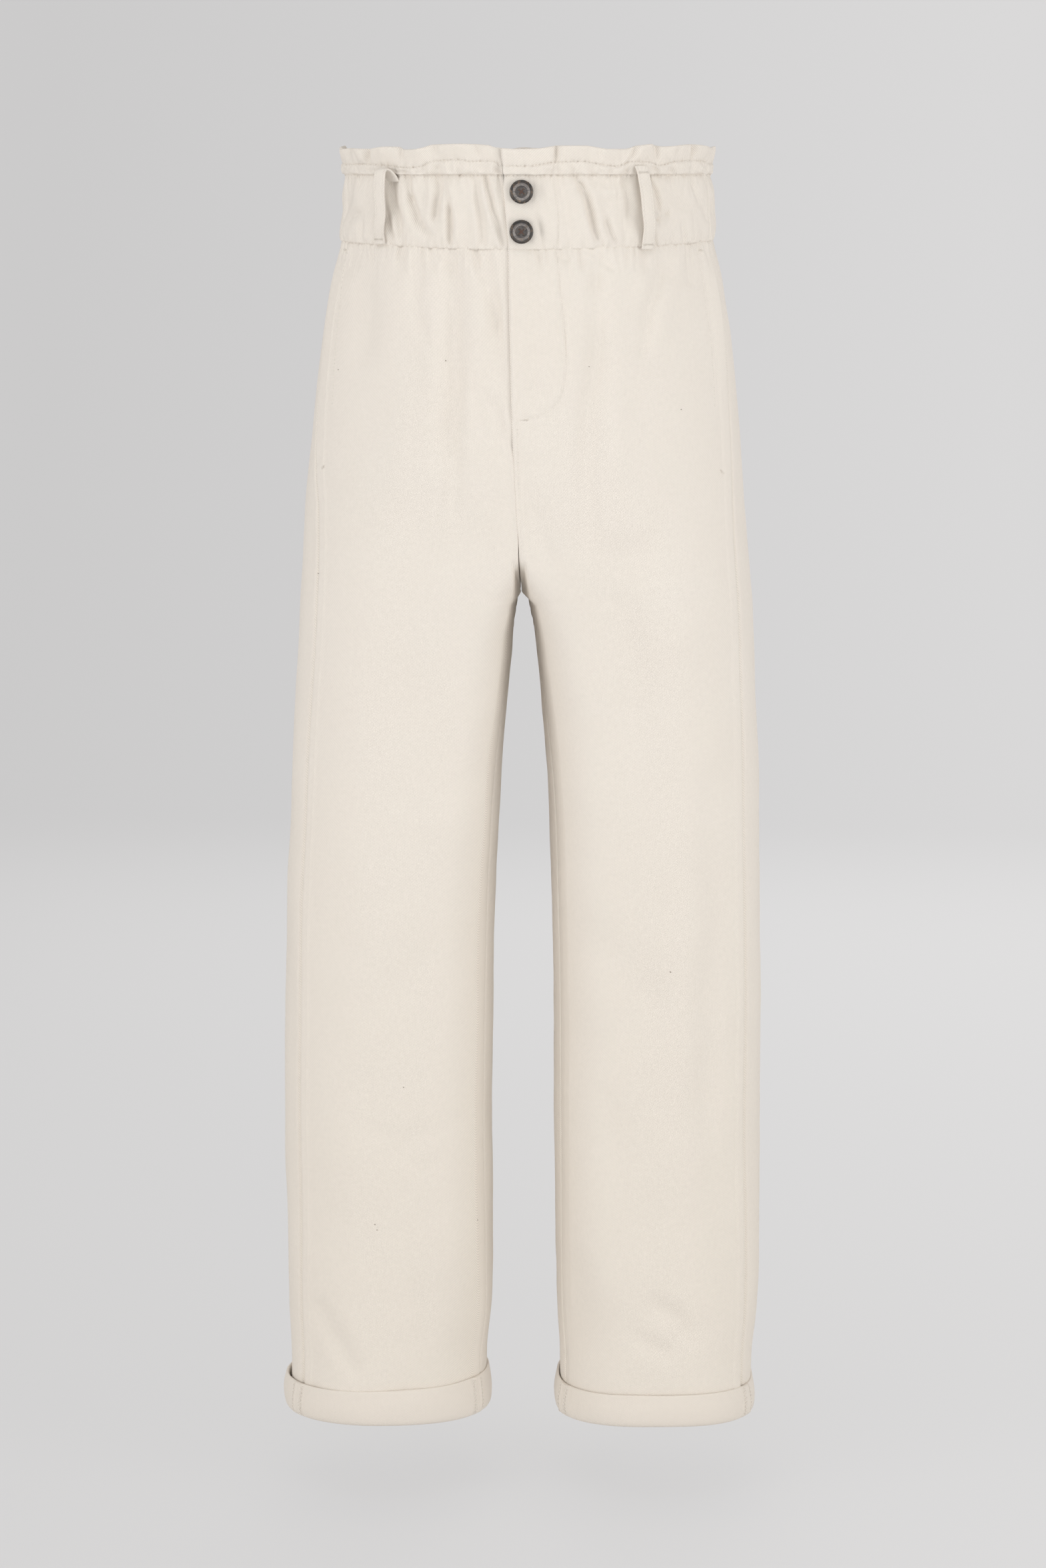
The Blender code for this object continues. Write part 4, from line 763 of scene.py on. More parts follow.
def linear(red, green, blue):
    """An sRGB colour, 0 to 255, as the linear values that a shader takes."""
    values = [channel / 255 for channel in (red, green, blue)]
    return tuple(v / 12.92 if v <= 0.04045 else ((v + 0.055) / 1.055) ** 2.4 for v in values) + (1.0,)


def new_material(name):
    material = bpy.data.materials.new(name)
    material.use_nodes = True
    return material, material.node_tree.nodes["Principled BSDF"]


def add(material, kind, links=None, **settings):
    """Adds a node, sets its properties and input values by name, and links its inputs from other sockets."""
    tree = material.node_tree
    node = tree.nodes.new(kind)
    for key, value in settings.items():
        if hasattr(node, key):
            setattr(node, key, value)
        else:
            node.inputs[key.replace("_", " ")].default_value = value
    for socket, source in (links or {}).items():
        tree.links.new(source, node.inputs[socket])
    return node


def mix_colour(material, factor, first, second, blend="MIX"):
    """A colour mix. Each of factor, first and second is a value or another node's socket."""
    node = add(material, "ShaderNodeMix", data_type="RGBA", blend_type=blend)
    for socket, value in ((0, factor), (6, first), (7, second)):
        if isinstance(value, bpy.types.NodeSocket):
            material.node_tree.links.new(value, node.inputs[socket])
        else:
            node.inputs[socket].default_value = value
    return node.outputs[2]


def maths(material, operation, first, second=0.0, third=0.0):
    node = add(material, "ShaderNodeMath", operation=operation)
    for socket, value in enumerate((first, second, third)):
        if isinstance(value, bpy.types.NodeSocket):
            material.node_tree.links.new(value, node.inputs[socket])
        else:
            node.inputs[socket].default_value = value
    return node.outputs[0]


def to_shader(material, shader, **sockets):
    for name, source in sockets.items():
        material.node_tree.links.new(source, shader.inputs[name.replace("_", " ")])


# %% [markdown]
# ## Ecru cotton twill
#
# Undyed cotton is a warm off-white, matt and very slightly fuzzy. The fuzz shows as a light sheen where the
# cloth turns away. The threads are uneven in thickness (slubs), so the ribs vary, and the colour drifts a
# little over the length of the legs, because the lower part is seen more in the shade of the floor.

# %% Twill
RIB_PITCH = 0.97 * MM  # across the ribs
RIB_DIRECTION = (0.88, 0.47)  # the direction across the ribs, in the cloth's own u and v


def make_twill(name, colour, shade, warm, rib_depth, painted_rib_shade_and_tone):
    """Cloth of one colour: the right side has deep ribs, and the wrong side is smoother."""
    material, shader = new_material(name)
    cloth = add(material, "ShaderNodeUVMap", uv_map="cloth").outputs[0]
    place = add(material, "ShaderNodeTexCoord").outputs["Object"]
    # slubs: long, thin variation along the warp, and a fine one for single threads
    slub = add(
        material, "ShaderNodeTexNoise", {"Vector": add(
            material, "ShaderNodeMapping", {"Vector": cloth}, Scale=(2600.0, 130.0, 1.0),
        ).outputs[0]}, Scale=1.0, Detail=2.0,
    ).outputs["Fac"]
    fuzz = add(material, "ShaderNodeTexNoise", {"Vector": cloth}, Scale=5200.0, Detail=2.0).outputs["Fac"]
    wander = add(material, "ShaderNodeTexNoise", {"Vector": cloth}, Scale=170.0, Detail=1.0).outputs["Fac"]
    # how far across the ribs a point lies, in turns, with a slight wander so that no rib is ruled
    steps = [value / RIB_PITCH * math.tau for value in RIB_DIRECTION]
    across = add(material, "ShaderNodeVectorMath", {0: cloth}, operation="DOT_PRODUCT")
    across.inputs[1].default_value = (*steps, 0.0)
    turned = maths(material, "MULTIPLY_ADD", wander, 1.6, across.outputs["Value"])
    rib = maths(material, "MULTIPLY_ADD", maths(material, "SINE", turned), 0.5, 0.5)
    weave = maths(material, "MULTIPLY_ADD", slub, 0.45, maths(material, "MULTIPLY_ADD", fuzz, 0.35, rib))
    crinkle = add(
        material, "ShaderNodeTexNoise", {"Vector": cloth}, Scale=330.0, Detail=3.0, Roughness=0.55,
    ).outputs["Fac"]
    weave = maths(material, "MULTIPLY_ADD", crinkle, 0.45, weave)
    # colour: painted shade between the ribs together with the threads' own uneven tone, blotches of a few
    # centimetres, and a painted shade that darkens and warms the cloth towards the hems
    patches = add(
        material, "ShaderNodeTexNoise", {"Vector": place}, Scale=14.0, Detail=3.0, Roughness=0.5,
    ).outputs["Fac"]
    # painted shade: the colour turns darker and warmer down the legs towards the hems
    height = add(material, "ShaderNodeSeparateXYZ", {0: place}).outputs["Z"]
    lower = add(
        material, "ShaderNodeMapRange", {"Value": height}, From_Min=-0.25, From_Max=-0.95,
        interpolation_type="SMOOTHSTEP",
    ).outputs[0]
    ground = mix_colour(material, lower, linear(*colour), linear(*warm))
    ground = mix_colour(material, maths(material, "MULTIPLY", patches, 0.5), ground, linear(*shade))
    # painted shade between the ribs, with the slubs' and fuzz's own uneven tone: the weave's low places are
    # darkened
    dark = mix_colour(material, 1.0, ground, linear(*[255 * (1 - painted_rib_shade_and_tone)] * 3), "MULTIPLY")
    tint = mix_colour(material, maths(material, "MULTIPLY_ADD", weave, 0.8, -0.25), dark, ground)
    bump = add(material, "ShaderNodeBump", {"Height": weave}, Strength=0.55, Distance=rib_depth).outputs[0]
    to_shader(material, shader, Base_Color=tint, Normal=bump)
    shader.inputs["Roughness"].default_value = 0.88
    shader.inputs["IOR"].default_value = 1.45
    shader.inputs["Specular IOR Level"].default_value = 0.25
    shader.inputs["Sheen Weight"].default_value = 0.18
    shader.inputs["Sheen Roughness"].default_value = 0.45
    shader.inputs["Sheen Tint"].default_value = linear(255, 247, 236)
    return material


# the third colour is the painted shade towards the hems, and the last number darkens the weave between the
# ribs, a painted shade mixed with the threads' own tone
TWILL = make_twill("ecru_cotton_twill", (229, 222, 213), (225, 216, 205), (226, 218, 207), 0.15 * MM, 0.12)
WRONG_SIDE = make_twill(
    "ecru_twill_wrong_side", (218, 210, 200), (212, 203, 191), (218, 210, 200), 0.07 * MM, 0.06,
)

# %% [markdown]
# ## Thread, dark flecks and horn
#
# The sewing thread is the cloth's own colour, drawn a little brighter as a painted sheen, because it is
# glossy cotton-wrapped polyester. The buttons are grey-brown horn: a worn grey dish with streaks, and a
# darker mottled rim, half polished.

# %% Small materials


def make_thread(name, colour, roughness=0.6):
    material, shader = new_material(name)
    place = add(material, "ShaderNodeTexCoord").outputs["Object"]
    twist = add(
        material, "ShaderNodeTexWave", {"Vector": place}, Scale=900.0, Distortion=3.0,
        bands_direction="DIAGONAL",
    ).outputs["Fac"]
    # painted shade in the grooves of the thread's twist: the darker colour follows the twist's bands
    painted_twist_shade = [0.86 * c for c in colour]
    to_shader(
        material, shader, Base_Color=mix_colour(material, twist, linear(*painted_twist_shade), linear(*colour)),
        Normal=add(
            material, "ShaderNodeBump", {"Height": twist}, Strength=0.3, Distance=0.04 * MM,
        ).outputs[0],
    )
    shader.inputs["Roughness"].default_value = roughness
    shader.inputs["Sheen Weight"].default_value = 0.1
    return material


def make_horn(name, dark, light, warm, roughness):
    """Layered horn: grey ground, streaks that bend round, and warm brown flecks."""
    material, shader = new_material(name)
    place = add(material, "ShaderNodeTexCoord").outputs["Object"]
    long = add(material, "ShaderNodeMapping", {"Vector": place}, Scale=(260.0, 260.0, 620.0)).outputs[0]
    streak = add(
        material, "ShaderNodeTexNoise", {"Vector": long}, Scale=1.0, Detail=5.0, Distortion=1.2,
    ).outputs["Fac"]
    fleck = add(material, "ShaderNodeTexNoise", {"Vector": place}, Scale=420.0, Detail=3.0).outputs["Fac"]
    streaks = add(material, "ShaderNodeValToRGB", {"Fac": streak})
    streaks.color_ramp.elements[0].position, streaks.color_ramp.elements[0].color = 0.36, linear(*dark)
    streaks.color_ramp.elements[1].position, streaks.color_ramp.elements[1].color = 0.66, linear(*light)
    flecks = add(material, "ShaderNodeMapRange", {"Value": fleck}, From_Min=0.55, From_Max=0.72).outputs[0]
    to_shader(
        material, shader, Base_Color=mix_colour(material, flecks, streaks.outputs[0], linear(*warm)),
        Normal=add(
            material, "ShaderNodeBump", {"Height": streak}, Strength=0.25, Distance=0.05 * MM,
        ).outputs[0],
    )
    shader.inputs["Roughness"].default_value = roughness
    shader.inputs["IOR"].default_value = 1.54
    return material


# painted sheen: the sewing thread is drawn a little brighter than the cloth
THREAD = make_thread("ecru_sewing_thread", (238, 231, 221))
BROWN_THREAD = make_thread("brown_button_thread", (92, 66, 54), 0.7)
FLECK = make_thread("dark_cotton_nep", (96, 76, 58), 0.9)
HORN_FACE = make_horn("grey_horn_dish", (92, 88, 86), (150, 144, 139), (122, 108, 97), 0.5)
HORN_CENTRE = make_horn("dark_horn_centre", (40, 36, 35), (84, 78, 75), (74, 62, 54), 0.45)
HORN_RIM = make_horn("mottled_horn_rim", (18, 15, 13), (58, 50, 44), (112, 92, 72), 0.35)
print("materials:", len(bpy.data.materials))

# %% [markdown]
# ## Panels in cloth
#
# The outer face carries everything that is seen: the folds, the short gathers that the waist seam pinches,
# the seam edges that roll inwards, the ridge where the seam allowance lies pressed under the cloth, and a
# faint unevenness. The inner face only follows the main folds, on every third row and column, because
# nobody looks at it closely.

# %% Panel surfaces
J_STITCH = (  # the mock fly's stitch line on the left front: across and height, in mm
    (25.4, -29.3), (26.9, -41.3), (28.2, -57.9), (31.0, -79.5), (32.5, -100.0), (32.7, -118.3),
    (31.8, -130.0), (29.3, -139.5), (24.0, -147.0), (16.3, -152.7), (9.0, -155.2), (2.5, -156.2),
)


def gathers(seed, first, last, gap, longest, deepest):
    """Short creases from a gathered seam: place, length, depth, half width and slant, all in mm."""
    draw = np.random.default_rng(seed)
    creases, at = [], first
    while at < last:
        creases.append((
            at, draw.uniform(0.25, 1.0) * longest, draw.uniform(0.4, 1.0) * deepest, draw.uniform(1.1, 2.1),
            draw.normal(0.0, 2.5),
        ))
        at += draw.uniform(0.55, 1.45) * gap
    return creases


def pinched(creases, at, drop):
    """How deep those creases are at a place along the seam and a drop below it, in mm."""
    depth = np.zeros(np.broadcast(at, drop).shape)
    for place, length, deep, width, slant in creases:
        fade = 1 - ease(drop / length)
        away = at - place - slant * drop / length
        depth += deep * fade * bell(away / (width * (1 + 0.6 * drop / length)))
    return depth


def main_push(side, part, base):
    """The panel's main form: how far out of its base it stands, in metres."""
    height, along = base["points"][..., 2], base["along"]
    start, end = base["start"], base["end"]
    here = start + SHARES * (end - start)
    clear = ease((here - 2 * MM) / (7 * MM)) * ease((end - here) / (7 * MM))
    push = -folds_at(side, part, base) * clear
    if part == "front":
        gape = 1.4 * read(MOUTHS, "out_" + word_of(side), height) * MM
        push += lap_push(side, along, height, CLOTH) + gape * ease(1 - (end - along) / MOUTH_REACH)
    return push


def squared(side, part, base):
    """How far forwards the cloth stands beside the crotch and the inseam, in metres.

    Pressed trousers stay flat almost up to the inseam, flatter than the rounded solids. Moving the cloth
    straight forwards leaves the outline seen from the front as it is.
    """
    points = base["points"]
    if part == "back":
        return np.zeros(points.shape[:2])
    height = points[..., 2] / MM
    down = -height
    inwards = np.abs(points[..., 0] - points[:, :1, 0]) / MM
    zone = ease((down - 165) / 105) * (1 - 0.45 * ease((down - 330) / 250)) * (1 - ease((down - 800) / 110))
    most = 20.0 + 12.0 * bell((height + 285) / 38)
    near = np.maximum(ease(inwards / 7.0), ease((height + 297) / 40))
    wanted = most * MM * zone * near * (1 - ease((inwards - 10) / 62)) + 1e-9
    room = np.maximum(points[..., 1] + read(BODY, "front", points[..., 2]), 1e-9)  # back from the front plane
    return wanted * room / (wanted**4 + room**4) ** 0.25


def skin(side, part, base, seed):
    """The fine detail on the outer face, in mm: out is positive."""
    points, along = base["points"], base["along"] / MM
    height, across = points[..., 2] / MM, points[..., 0] / MM
    from_start, to_end = along - base["start"] / MM, base["end"] / MM - along
    drop = height[0] - TUCK - height
    side_seam, centre = (to_end, from_start) if part == "front" else (from_start, to_end)
    detail = soft_noise(side_seam, height, seed, 12, 70, 170, 0.42)
    detail += soft_noise(side_seam, height, seed + 1, 14, 24, 48, 0.10)
    detail *= ease(to_end / 12) * ease(from_start / 12)
    width = float((base["end"] - base["start"])[0, 0]) / MM
    seam_gathers = gathers(seed + 2, 4 if part == "back" else 16, width - 6, 4.6, 34, 1.9)
    detail -= pinched(seam_gathers, from_start, drop)
    detail -= np.where(drop < -0.5, 1.4, 0.5 * bell(drop / 1.4))
    is_leg = height < CROTCH / MM
    mouth = 0.0
    if part == "front":
        mouth = ease((height - MOUTH_FOOT) / 6) * (1 - ease((height - MOUTH_TOP) / 3))
    detail -= (3.4 - 3.1 * mouth) * bell(side_seam / (1.5 - 0.6 * mouth))
    free = ease((height - FLY_FLAT / MM) / 8) if part == "front" else 0.0
    detail -= (0.5 - 0.05 * free) * bell(centre / (1.2 - 0.3 * free))
    slanted = height + 0.7 * np.minimum(centre, side_seam)
    strength = 0.6 + 0.4 * np.sin(height / 31.0)
    pucker = np.sin(math.tau * slanted / 9.5 + 1.5 * np.sin(height / 17.0)) * strength
    detail += 0.18 * pucker * bell((side_seam - 2) / 5.0) * (1 - mouth)
    detail += 0.5 * pucker * bell((centre - 5.5) / 3.6) * is_leg
    if part == "front":
        # the pressed allowance under the front's side edge ends in a low ridge
        inwards = np.abs(across - across[:, -1:])
        detail += 0.75 * (1 - ease((inwards - 6.2) / 1.4)) * ease(side_seam / 2.5)
        detail += 0.3 * (1 - ease((centre - 8.0) / 2.0)) * is_leg * ease(centre / 3)
    if part == "front" and side > 0:
        path = off_path(across, height, J_STITCH)[0]
        edge = np.interp(-height, [-z for _, z in J_STITCH], [x for x, _ in J_STITCH])
        within = ease((edge - across) / 1.5) * ease((height - J_FOOT) / 2)
        detail += 0.5 * within - 0.8 * bell(path / 1.2)
        below = (height < J_FOOT) & (height > CENTRE_FOOT)
        detail -= 0.45 * bell((centre - 2.6) / 1.0) * below
    return detail


def strip(upper, lower):
    """Triangles that close the strip between two rows of point numbers, which may have different counts."""
    faces, i, j = [], 0, 0
    while i < len(upper) - 1 or j < len(lower) - 1:
        ahead = (i + 1) / max(len(upper) - 1, 1) <= (j + 1) / max(len(lower) - 1, 1)
        if j == len(lower) - 1 or (ahead and i < len(upper) - 1):
            faces.append((upper[i], upper[i + 1], lower[j]))
            i += 1
        else:
            faces.append((upper[i], lower[j + 1], lower[j]))
            j += 1
    return faces


def thinned(count, step):
    return np.unique(np.append(np.arange(0, count, step), count - 1))


def cloth_shell(name, outer, inner, uv, material, thin=3):
    """A closed shell: the outer grid in full and the inner grid with every third row and column."""
    rows, cols = outer.shape[:2]
    keep_rows, keep_cols = thinned(rows, thin), thinned(cols, thin)
    few, count = (len(keep_rows), len(keep_cols)), rows * cols
    inner, inner_uv = inner[np.ix_(keep_rows, keep_cols)], uv[np.ix_(keep_rows, keep_cols)]
    faces = [tuple(face) for face in quads(rows, cols)]
    faces += [tuple(face) for face in quads(*few, count, flip=True)]
    numbers, inside = np.arange(count).reshape(rows, cols), count + np.arange(few[0] * few[1]).reshape(few)
    for edge in (np.s_[0], np.s_[-1], np.s_[:, 0], np.s_[:, -1]):
        faces += strip(list(numbers[edge]), list(inside[edge]))
    points = np.vstack([outer.reshape(-1, 3), inner.reshape(-1, 3)])
    return mesh_object(name, points, faces, np.vstack([uv.reshape(-1, 2), inner_uv.reshape(-1, 2)]), material)


def cloth_uv(side, part, base):
    """Metres of cloth, u from the side seam: it runs to the right as seen from outside, and v runs up."""
    u = side * (base["along"] - base["end" if part == "front" else "start"])
    v = -tape(base["points"], 0)
    return np.dstack([u, v])


# %% Hang the four panels
OVERRUN = 0.6 * MM
PANELS, SURFACES = {}, {}
for side in (-1, 1):
    word = word_of(side)
    normals = {part: outward(BASES[side, part]["points"], side) for part in ("front", "back")}
    legs = PANEL_ROWS < CROTCH + 1e-6
    for (first, second, rows) in ((-1, 0, slice(None)), (0, -1, legs)):
        mean = unit(normals["front"][rows, first] + normals["back"][rows, second])
        normals["front"][rows, first] = normals["back"][rows, second] = mean
    for part in ("front", "back"):
        base, seed = BASES[side, part], SEEDS[part] + side
        push = main_push(side, part, base)[..., None]
        fine = skin(side, part, base, seed)[..., None] * MM
        forwards = squared(side, part, base)[..., None] * np.array([0.0, -1.0, 0.0])
        outer = parted(base["points"] + normals[part] * (push + fine) + forwards, side)
        inner = parted(base["points"] + normals[part] * (push - CLOTH) + forwards, side)
        # the allowances inside run past the seam, so no light comes through
        for first, second in ((0, 1), (-1, -2)):
            past = base["points"][:, first] - base["points"][:, second]
            inner[:, first] += OVERRUN * past / np.linalg.norm(past, axis=1, keepdims=True)
        name = f"twill_{part}_{word}"
        PANELS[name] = cloth_shell(name, outer, inner, cloth_uv(side, part, base), TWILL)
        SURFACES[side, part] = (outer, outward(outer, side))
        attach(PANELS[name], "root")
        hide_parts(f"{part}_panel_{word}")
        extent = np.round(np.ptp(outer.reshape(-1, 3), axis=0) / MM).astype(int)
        print(name, "mm:", extent, "triangles:", 2 * len(PANELS[name].data.polygons))

# %% [markdown]
# ## The gathered casing and its frill
#
# The waist is one doubled strip. Two rows of stitches close a channel for the elastic, and the cloth above
# them stands free: that is the paperbag frill. Elastic pulls the strip together, so it puckers into soft
# vertical creases. Between the rows the cloth has nowhere to go and rolls outwards and down over the lower
# row, pinched flat every few centimetres. The whole strip is made as one section, carried round the waist.

# %% Sections of the strip
# going up the outside, over the frill's edge and down the inside, in mm: height, how far out, and how much
# each point takes of the creases, of the roll's bulge and droop, of the frill's waves and of the upper row's
# rise and fall
STRIP_COLUMNS = ("height", "out", "crease", "bulge", "droop", "wave", "row")
STRIP = (
    (-28.2, -1.0, 0.4, 0, 0, 0, 0), (-28.0, -0.2, 0.5, 0, 0, 0, 0), (-27.3, 0.35, 0.6, 0, 0, 0, 0),
    (-26.0, 0.9, 0.75, 0, 0, 0, 0), (-24.0, 1.5, 0.9, 0, 0, 0, 0), (-21.0, 2.0, 1, 0, 0, 0, 0),
    (-17.0, 2.4, 1, 0, 0, 0, 0), (-12.5, 2.5, 1, 0, 0, 0, 0), (-8.0, 2.5, 1, 0, 0, 0, 0),
    (-3.5, 2.5, 1, 0, 0, 0, 0), (1.0, 2.5, 1, 0, 0, 0, 0), (5.5, 2.5, 1, 0, 0, 0, 0),
    (10.0, 2.4, 1, 0, 0, 0, 0), (14.0, 2.2, 1, 0, 0, 0, 0), (17.5, 1.9, 1, 0, 0, 0, 0),
    (20.5, 1.6, 1, 0, 0, 0, 0), (23.0, 1.3, 0.95, 0, 0, 0, 0), (25.0, 0.9, 0.85, 0, 0, 0, 0),
    (26.4, 0.5, 0.7, 0, 0, 0, 0), (27.2, 0.1, 0.6, 0, 0, 0, 0), (27.9, 0.2, 0.5, 0, 0, 0, 0),
    (28.3, 0.4, 0.4, 0.4, -0.2, 0, 0.05), (28.6, 0.7, 0.35, 0.9, -0.6, 0, 0.1),
    (29.1, 1.1, 0.3, 1.4, -0.9, 0, 0.2), (30.0, 1.5, 0.3, 1.7, -0.7, 0, 0.35),
    (31.0, 1.8, 0.3, 1.7, -0.3, 0.02, 0.5), (32.0, 1.95, 0.25, 1.4, 0, 0.03, 0.65),
    (33.0, 1.9, 0.25, 0.9, 0, 0.05, 0.8), (33.8, 1.75, 0.2, 0.45, 0, 0.07, 0.93),
    (34.4, 1.6, 0.2, 0.25, 0, 0.1, 1.0), (35.0, 1.75, 0.2, 0.2, 0, 0.15, 0.97),
    (36.0, 1.9, 0.2, 0.1, 0, 0.25, 0.9), (38.0, 2.05, 0.15, 0, 0, 0.42, 0.75),
    (40.5, 2.2, 0.1, 0, 0, 0.6, 0.55), (43.5, 2.3, 0.05, 0, 0, 0.8, 0.3), (46.0, 2.3, 0, 0, 0, 0.93, 0.1),
    (47.4, 2.1, 0, 0, 0, 0.98, 0.03), (48.05, 1.7, 0, 0, 0, 1, 0), (48.2, 1.1, 0, 0, 0, 1, 0),
    (47.8, 0.6, 0, 0, 0, 1, 0), (46.4, 0.35, 0, 0, 0, 0.95, 0.1), (43.5, 0.4, 0, 0, 0, 0.8, 0.3),
    (40.0, 0.3, 0.05, 0, 0, 0.55, 0.6), (37.0, 0.1, 0.1, 0, 0, 0.3, 0.85),
    (34.4, -0.3, 0.15, 0, 0, 0.1, 1.0), (31.0, -1.2, 0.2, 0.6, 0, 0.02, 0.5), (27.2, -2.4, 0.4, 0, 0, 0, 0),
    (22.0, -1.6, 0.3, 0, 0, 0, 0), (10.0, -1.4, 0.2, 0, 0, 0, 0), (-6.0, -1.4, 0.2, 0, 0, 0, 0),
    (-20.0, -1.6, 0.2, 0, 0, 0, 0), (-30.6, -4.2, 0.2, 0, 0, 0, 0),
)
SECTION = {name: np.array([row[i] for row in STRIP], float) for i, name in enumerate(STRIP_COLUMNS)}
OUTSIDE = int(np.argmax(SECTION["height"])) + 1  # the rows up to here are on the outside
LOWER_AT, UPPER_AT = (list(SECTION["height"]).index(h) for h in (LOWER_STITCHES, UPPER_STITCHES))
PITCH = 2.8  # mm, from one stitch to the next
BAND_DEPTH = 55.2  # mm, from the lower stitch row down to the waist seam
BAND_TOP, ROLL_FOOT, ROLL_TOP, FRILL_FOOT = 28.1, 26.8, 36.5, 34.0  # mm, where the band, roll and frill meet
ROLL_MIDDLE = 31.0
PLACKET_LINE = (
    (48.0, 26.6), (36.0, 26.2), (27.9, 24.3), (12.0, 26.0), (-2.7, 26.9), (-15.0, 25.6), (-27.0, 23.8),
)

# the casing's creases and the frill's folds: depth and half width, then the path as (across, height), in mm
CREASES_RIGHT = (
    (1.5, 2.2, (-99.9, 24.8), (-96.9, 8.6), (-92.8, -21.6)), (1.3, 1.8, (-86.5, 25.8), (-84.5, 8.7)),
    (2.2, 2.2, (-84.5, 8.7), (-78.4, -9.4), (-71.7, -18.4)),
    (2.2, 2.2, (-62.9, 26.9), (-63.5, 13.8), (-67.1, -5.3)), (1.0, 1.8, (-57.3, 24.9), (-56.4, 2.8)),
    (1.8, 1.7, (-56.4, 2.8), (-54.9, -24.3)), (1.5, 2.4, (-33.4, 26.9), (-33, 2.8), (-32, -24.3)),
    (1.7, 1.8, (-26.8, 27.9), (-22.3, 2.8), (-17.2, -23.2)),
    (1.1, 2.6, (-132.6, 23.5), (-132.7, 8.2), (-136.6, -5.1)),
    (1.3, 1.8, (-130.6, -7), (-124.2, -2.3), (-116.7, -0.7)),
    (1.3, 1.5, (-104.2, -1.5), (-100, -11.6), (-98, -22.7)), (0.8, 2.6, (-41.1, -2.2), (-42.1, -24.3)),
    (0.9, 1.8, (-122.1, -11.9), (-121.5, -23)), (0.8, 2.0, (-73.2, 8.8), (-75.3, -0.3)),
)
CREASES_LEFT = (
    (1.0, 2.3, (7.1, 4.9), (11.2, -11.2), (12.2, -25.2)),
    (0.8, 3.0, (28.9, 25.9), (33.5, -1.2), (33.5, -21.3)), (1.3, 2.0, (41.5, 26.9), (44.6, 18.9)),
    (2.4, 2.1, (44.6, 18.9), (49.2, 8.8), (54.9, -20.3)),
    (1.5, 1.7, (62, -6.3), (65.1, -16.4), (68.1, -24.4)), (1.2, 2.6, (79.8, 23.8), (79.4, -2.4)),
    (0.9, 2.2, (57.8, 22.9), (66, 20.3), (76.2, 20.8)), (0.7, 2.4, (60.4, 9.3), (74.2, 9.8)),
    (0.8, 1.8, (56.9, -1.2), (64, 0.7)), (1.6, 1.8, (97.8, 25.8), (99.4, 16.7), (103.7, -0.5)),
    (0.6, 1.5, (106.2, 14.6), (116.7, 6.4), (133.9, -6)),
    (1.9, 1.3, (102.1, -8.1), (105.7, -6.6), (109.4, -4.1)),
    (1.1, 1.7, (130.5, 19.5), (134.9, 6.2), (140, -7.2)), (1.0, 1.4, (141, 24.4), (143.5, 8)),
    (0.9, 1.6, (119.9, -13.9), (121, -24)), (0.8, 1.6, (142.8, -12.4), (143.9, -23.7)),
    (0.8, 3.0, (11.2, 3.9), (19.3, 1.8), (24.3, 3.3)),
)
FRILL_FOLDS = (
    (2.6, 1.4, (-114.9, 46.9), (-116.5, 36.8), (-117.1, 30.7)), (0.9, 1.2, (-89.4, 48.9), (-90.5, 38.9)),
    (0.8, 1.6, (-107, 44.9), (-108.1, 38.8)), (2.4, 1.7, (85.8, 49.9), (82.8, 39.9), (78.7, 32.9)),
    (1.4, 1.4, (100.3, 50.9), (101.9, 38.8)), (2.4, 1.3, (129.7, 51.9), (129.3, 33.7)),
    (1.3, 1.0, (-136.4, 38.2), (-130.3, 40.3)), (1.4, 1.3, (27.3, 48.9), (26.3, 30.9)),
    (0.9, 1.6, (57.2, 47.9), (58.8, 38.9)), (0.9, 1.8, (117, 50.9), (115.4, 40.8)),
    (1.0, 1.3, (146.4, 46.8), (148.3, 33.5)), (0.8, 1.5, (-32.4, 47.9), (-30.4, 38.9)),
    (0.7, 2.0, (-62.8, 47.9), (-64.4, 40.9)), (1.0, 1.4, (-124.9, 44.9), (-123.9, 33.7)),
)
PINCHES = (
    -139.8, -121.8, -116.0, -95.7, -89.0, -73.1, -63.4, -46.1, -28.9, -25.8, -16.2, 27.3, 39.0, 52.7, 67.5,
    79.8, 100.4, 113.4, 129.3, 141.5,
)
# the front's free edge and upper stitch row, as heights across the front
FRILL_LINE = (
    (-150.0, 45.0), (-141.1, 46.3), (-129.0, 47.9), (-115.0, 47.4), (-100.3, 49.1), (-91.5, 48.9),
    (-88.5, 47.1), (-81.7, 46.9), (-72.5, 48.4), (-65.4, 50.6), (-42.5, 51.2), (-22.7, 50.2), (-18.2, 48.6),
    (0.0, 47.4), (14.1, 47.9), (29.3, 49.9), (47.5, 49.9), (65.8, 47.4), (77.6, 47.4), (86.8, 49.9),
    (97.1, 51.0), (104.9, 49.2), (128.1, 50.9), (142.0, 48.4), (152.0, 44.0),
)
UPPER_ROW_LINE = (
    (-150.0, 35.0), (-115.1, 35.8), (-90.1, 33.3), (-75.7, 33.9), (-67.5, 37.6), (-45.6, 38.9),
    (-39.0, 37.7), (-20.2, 37.9), (-14.2, 34.9), (6.6, 34.4), (23.3, 36.9), (47.6, 37.7), (58.2, 35.9),
    (71.0, 34.4), (77.6, 35.9), (81.7, 37.6), (97.2, 36.9), (103.9, 34.8), (117.0, 37.6), (128.7, 38.3),
    (152.0, 35.5),
)
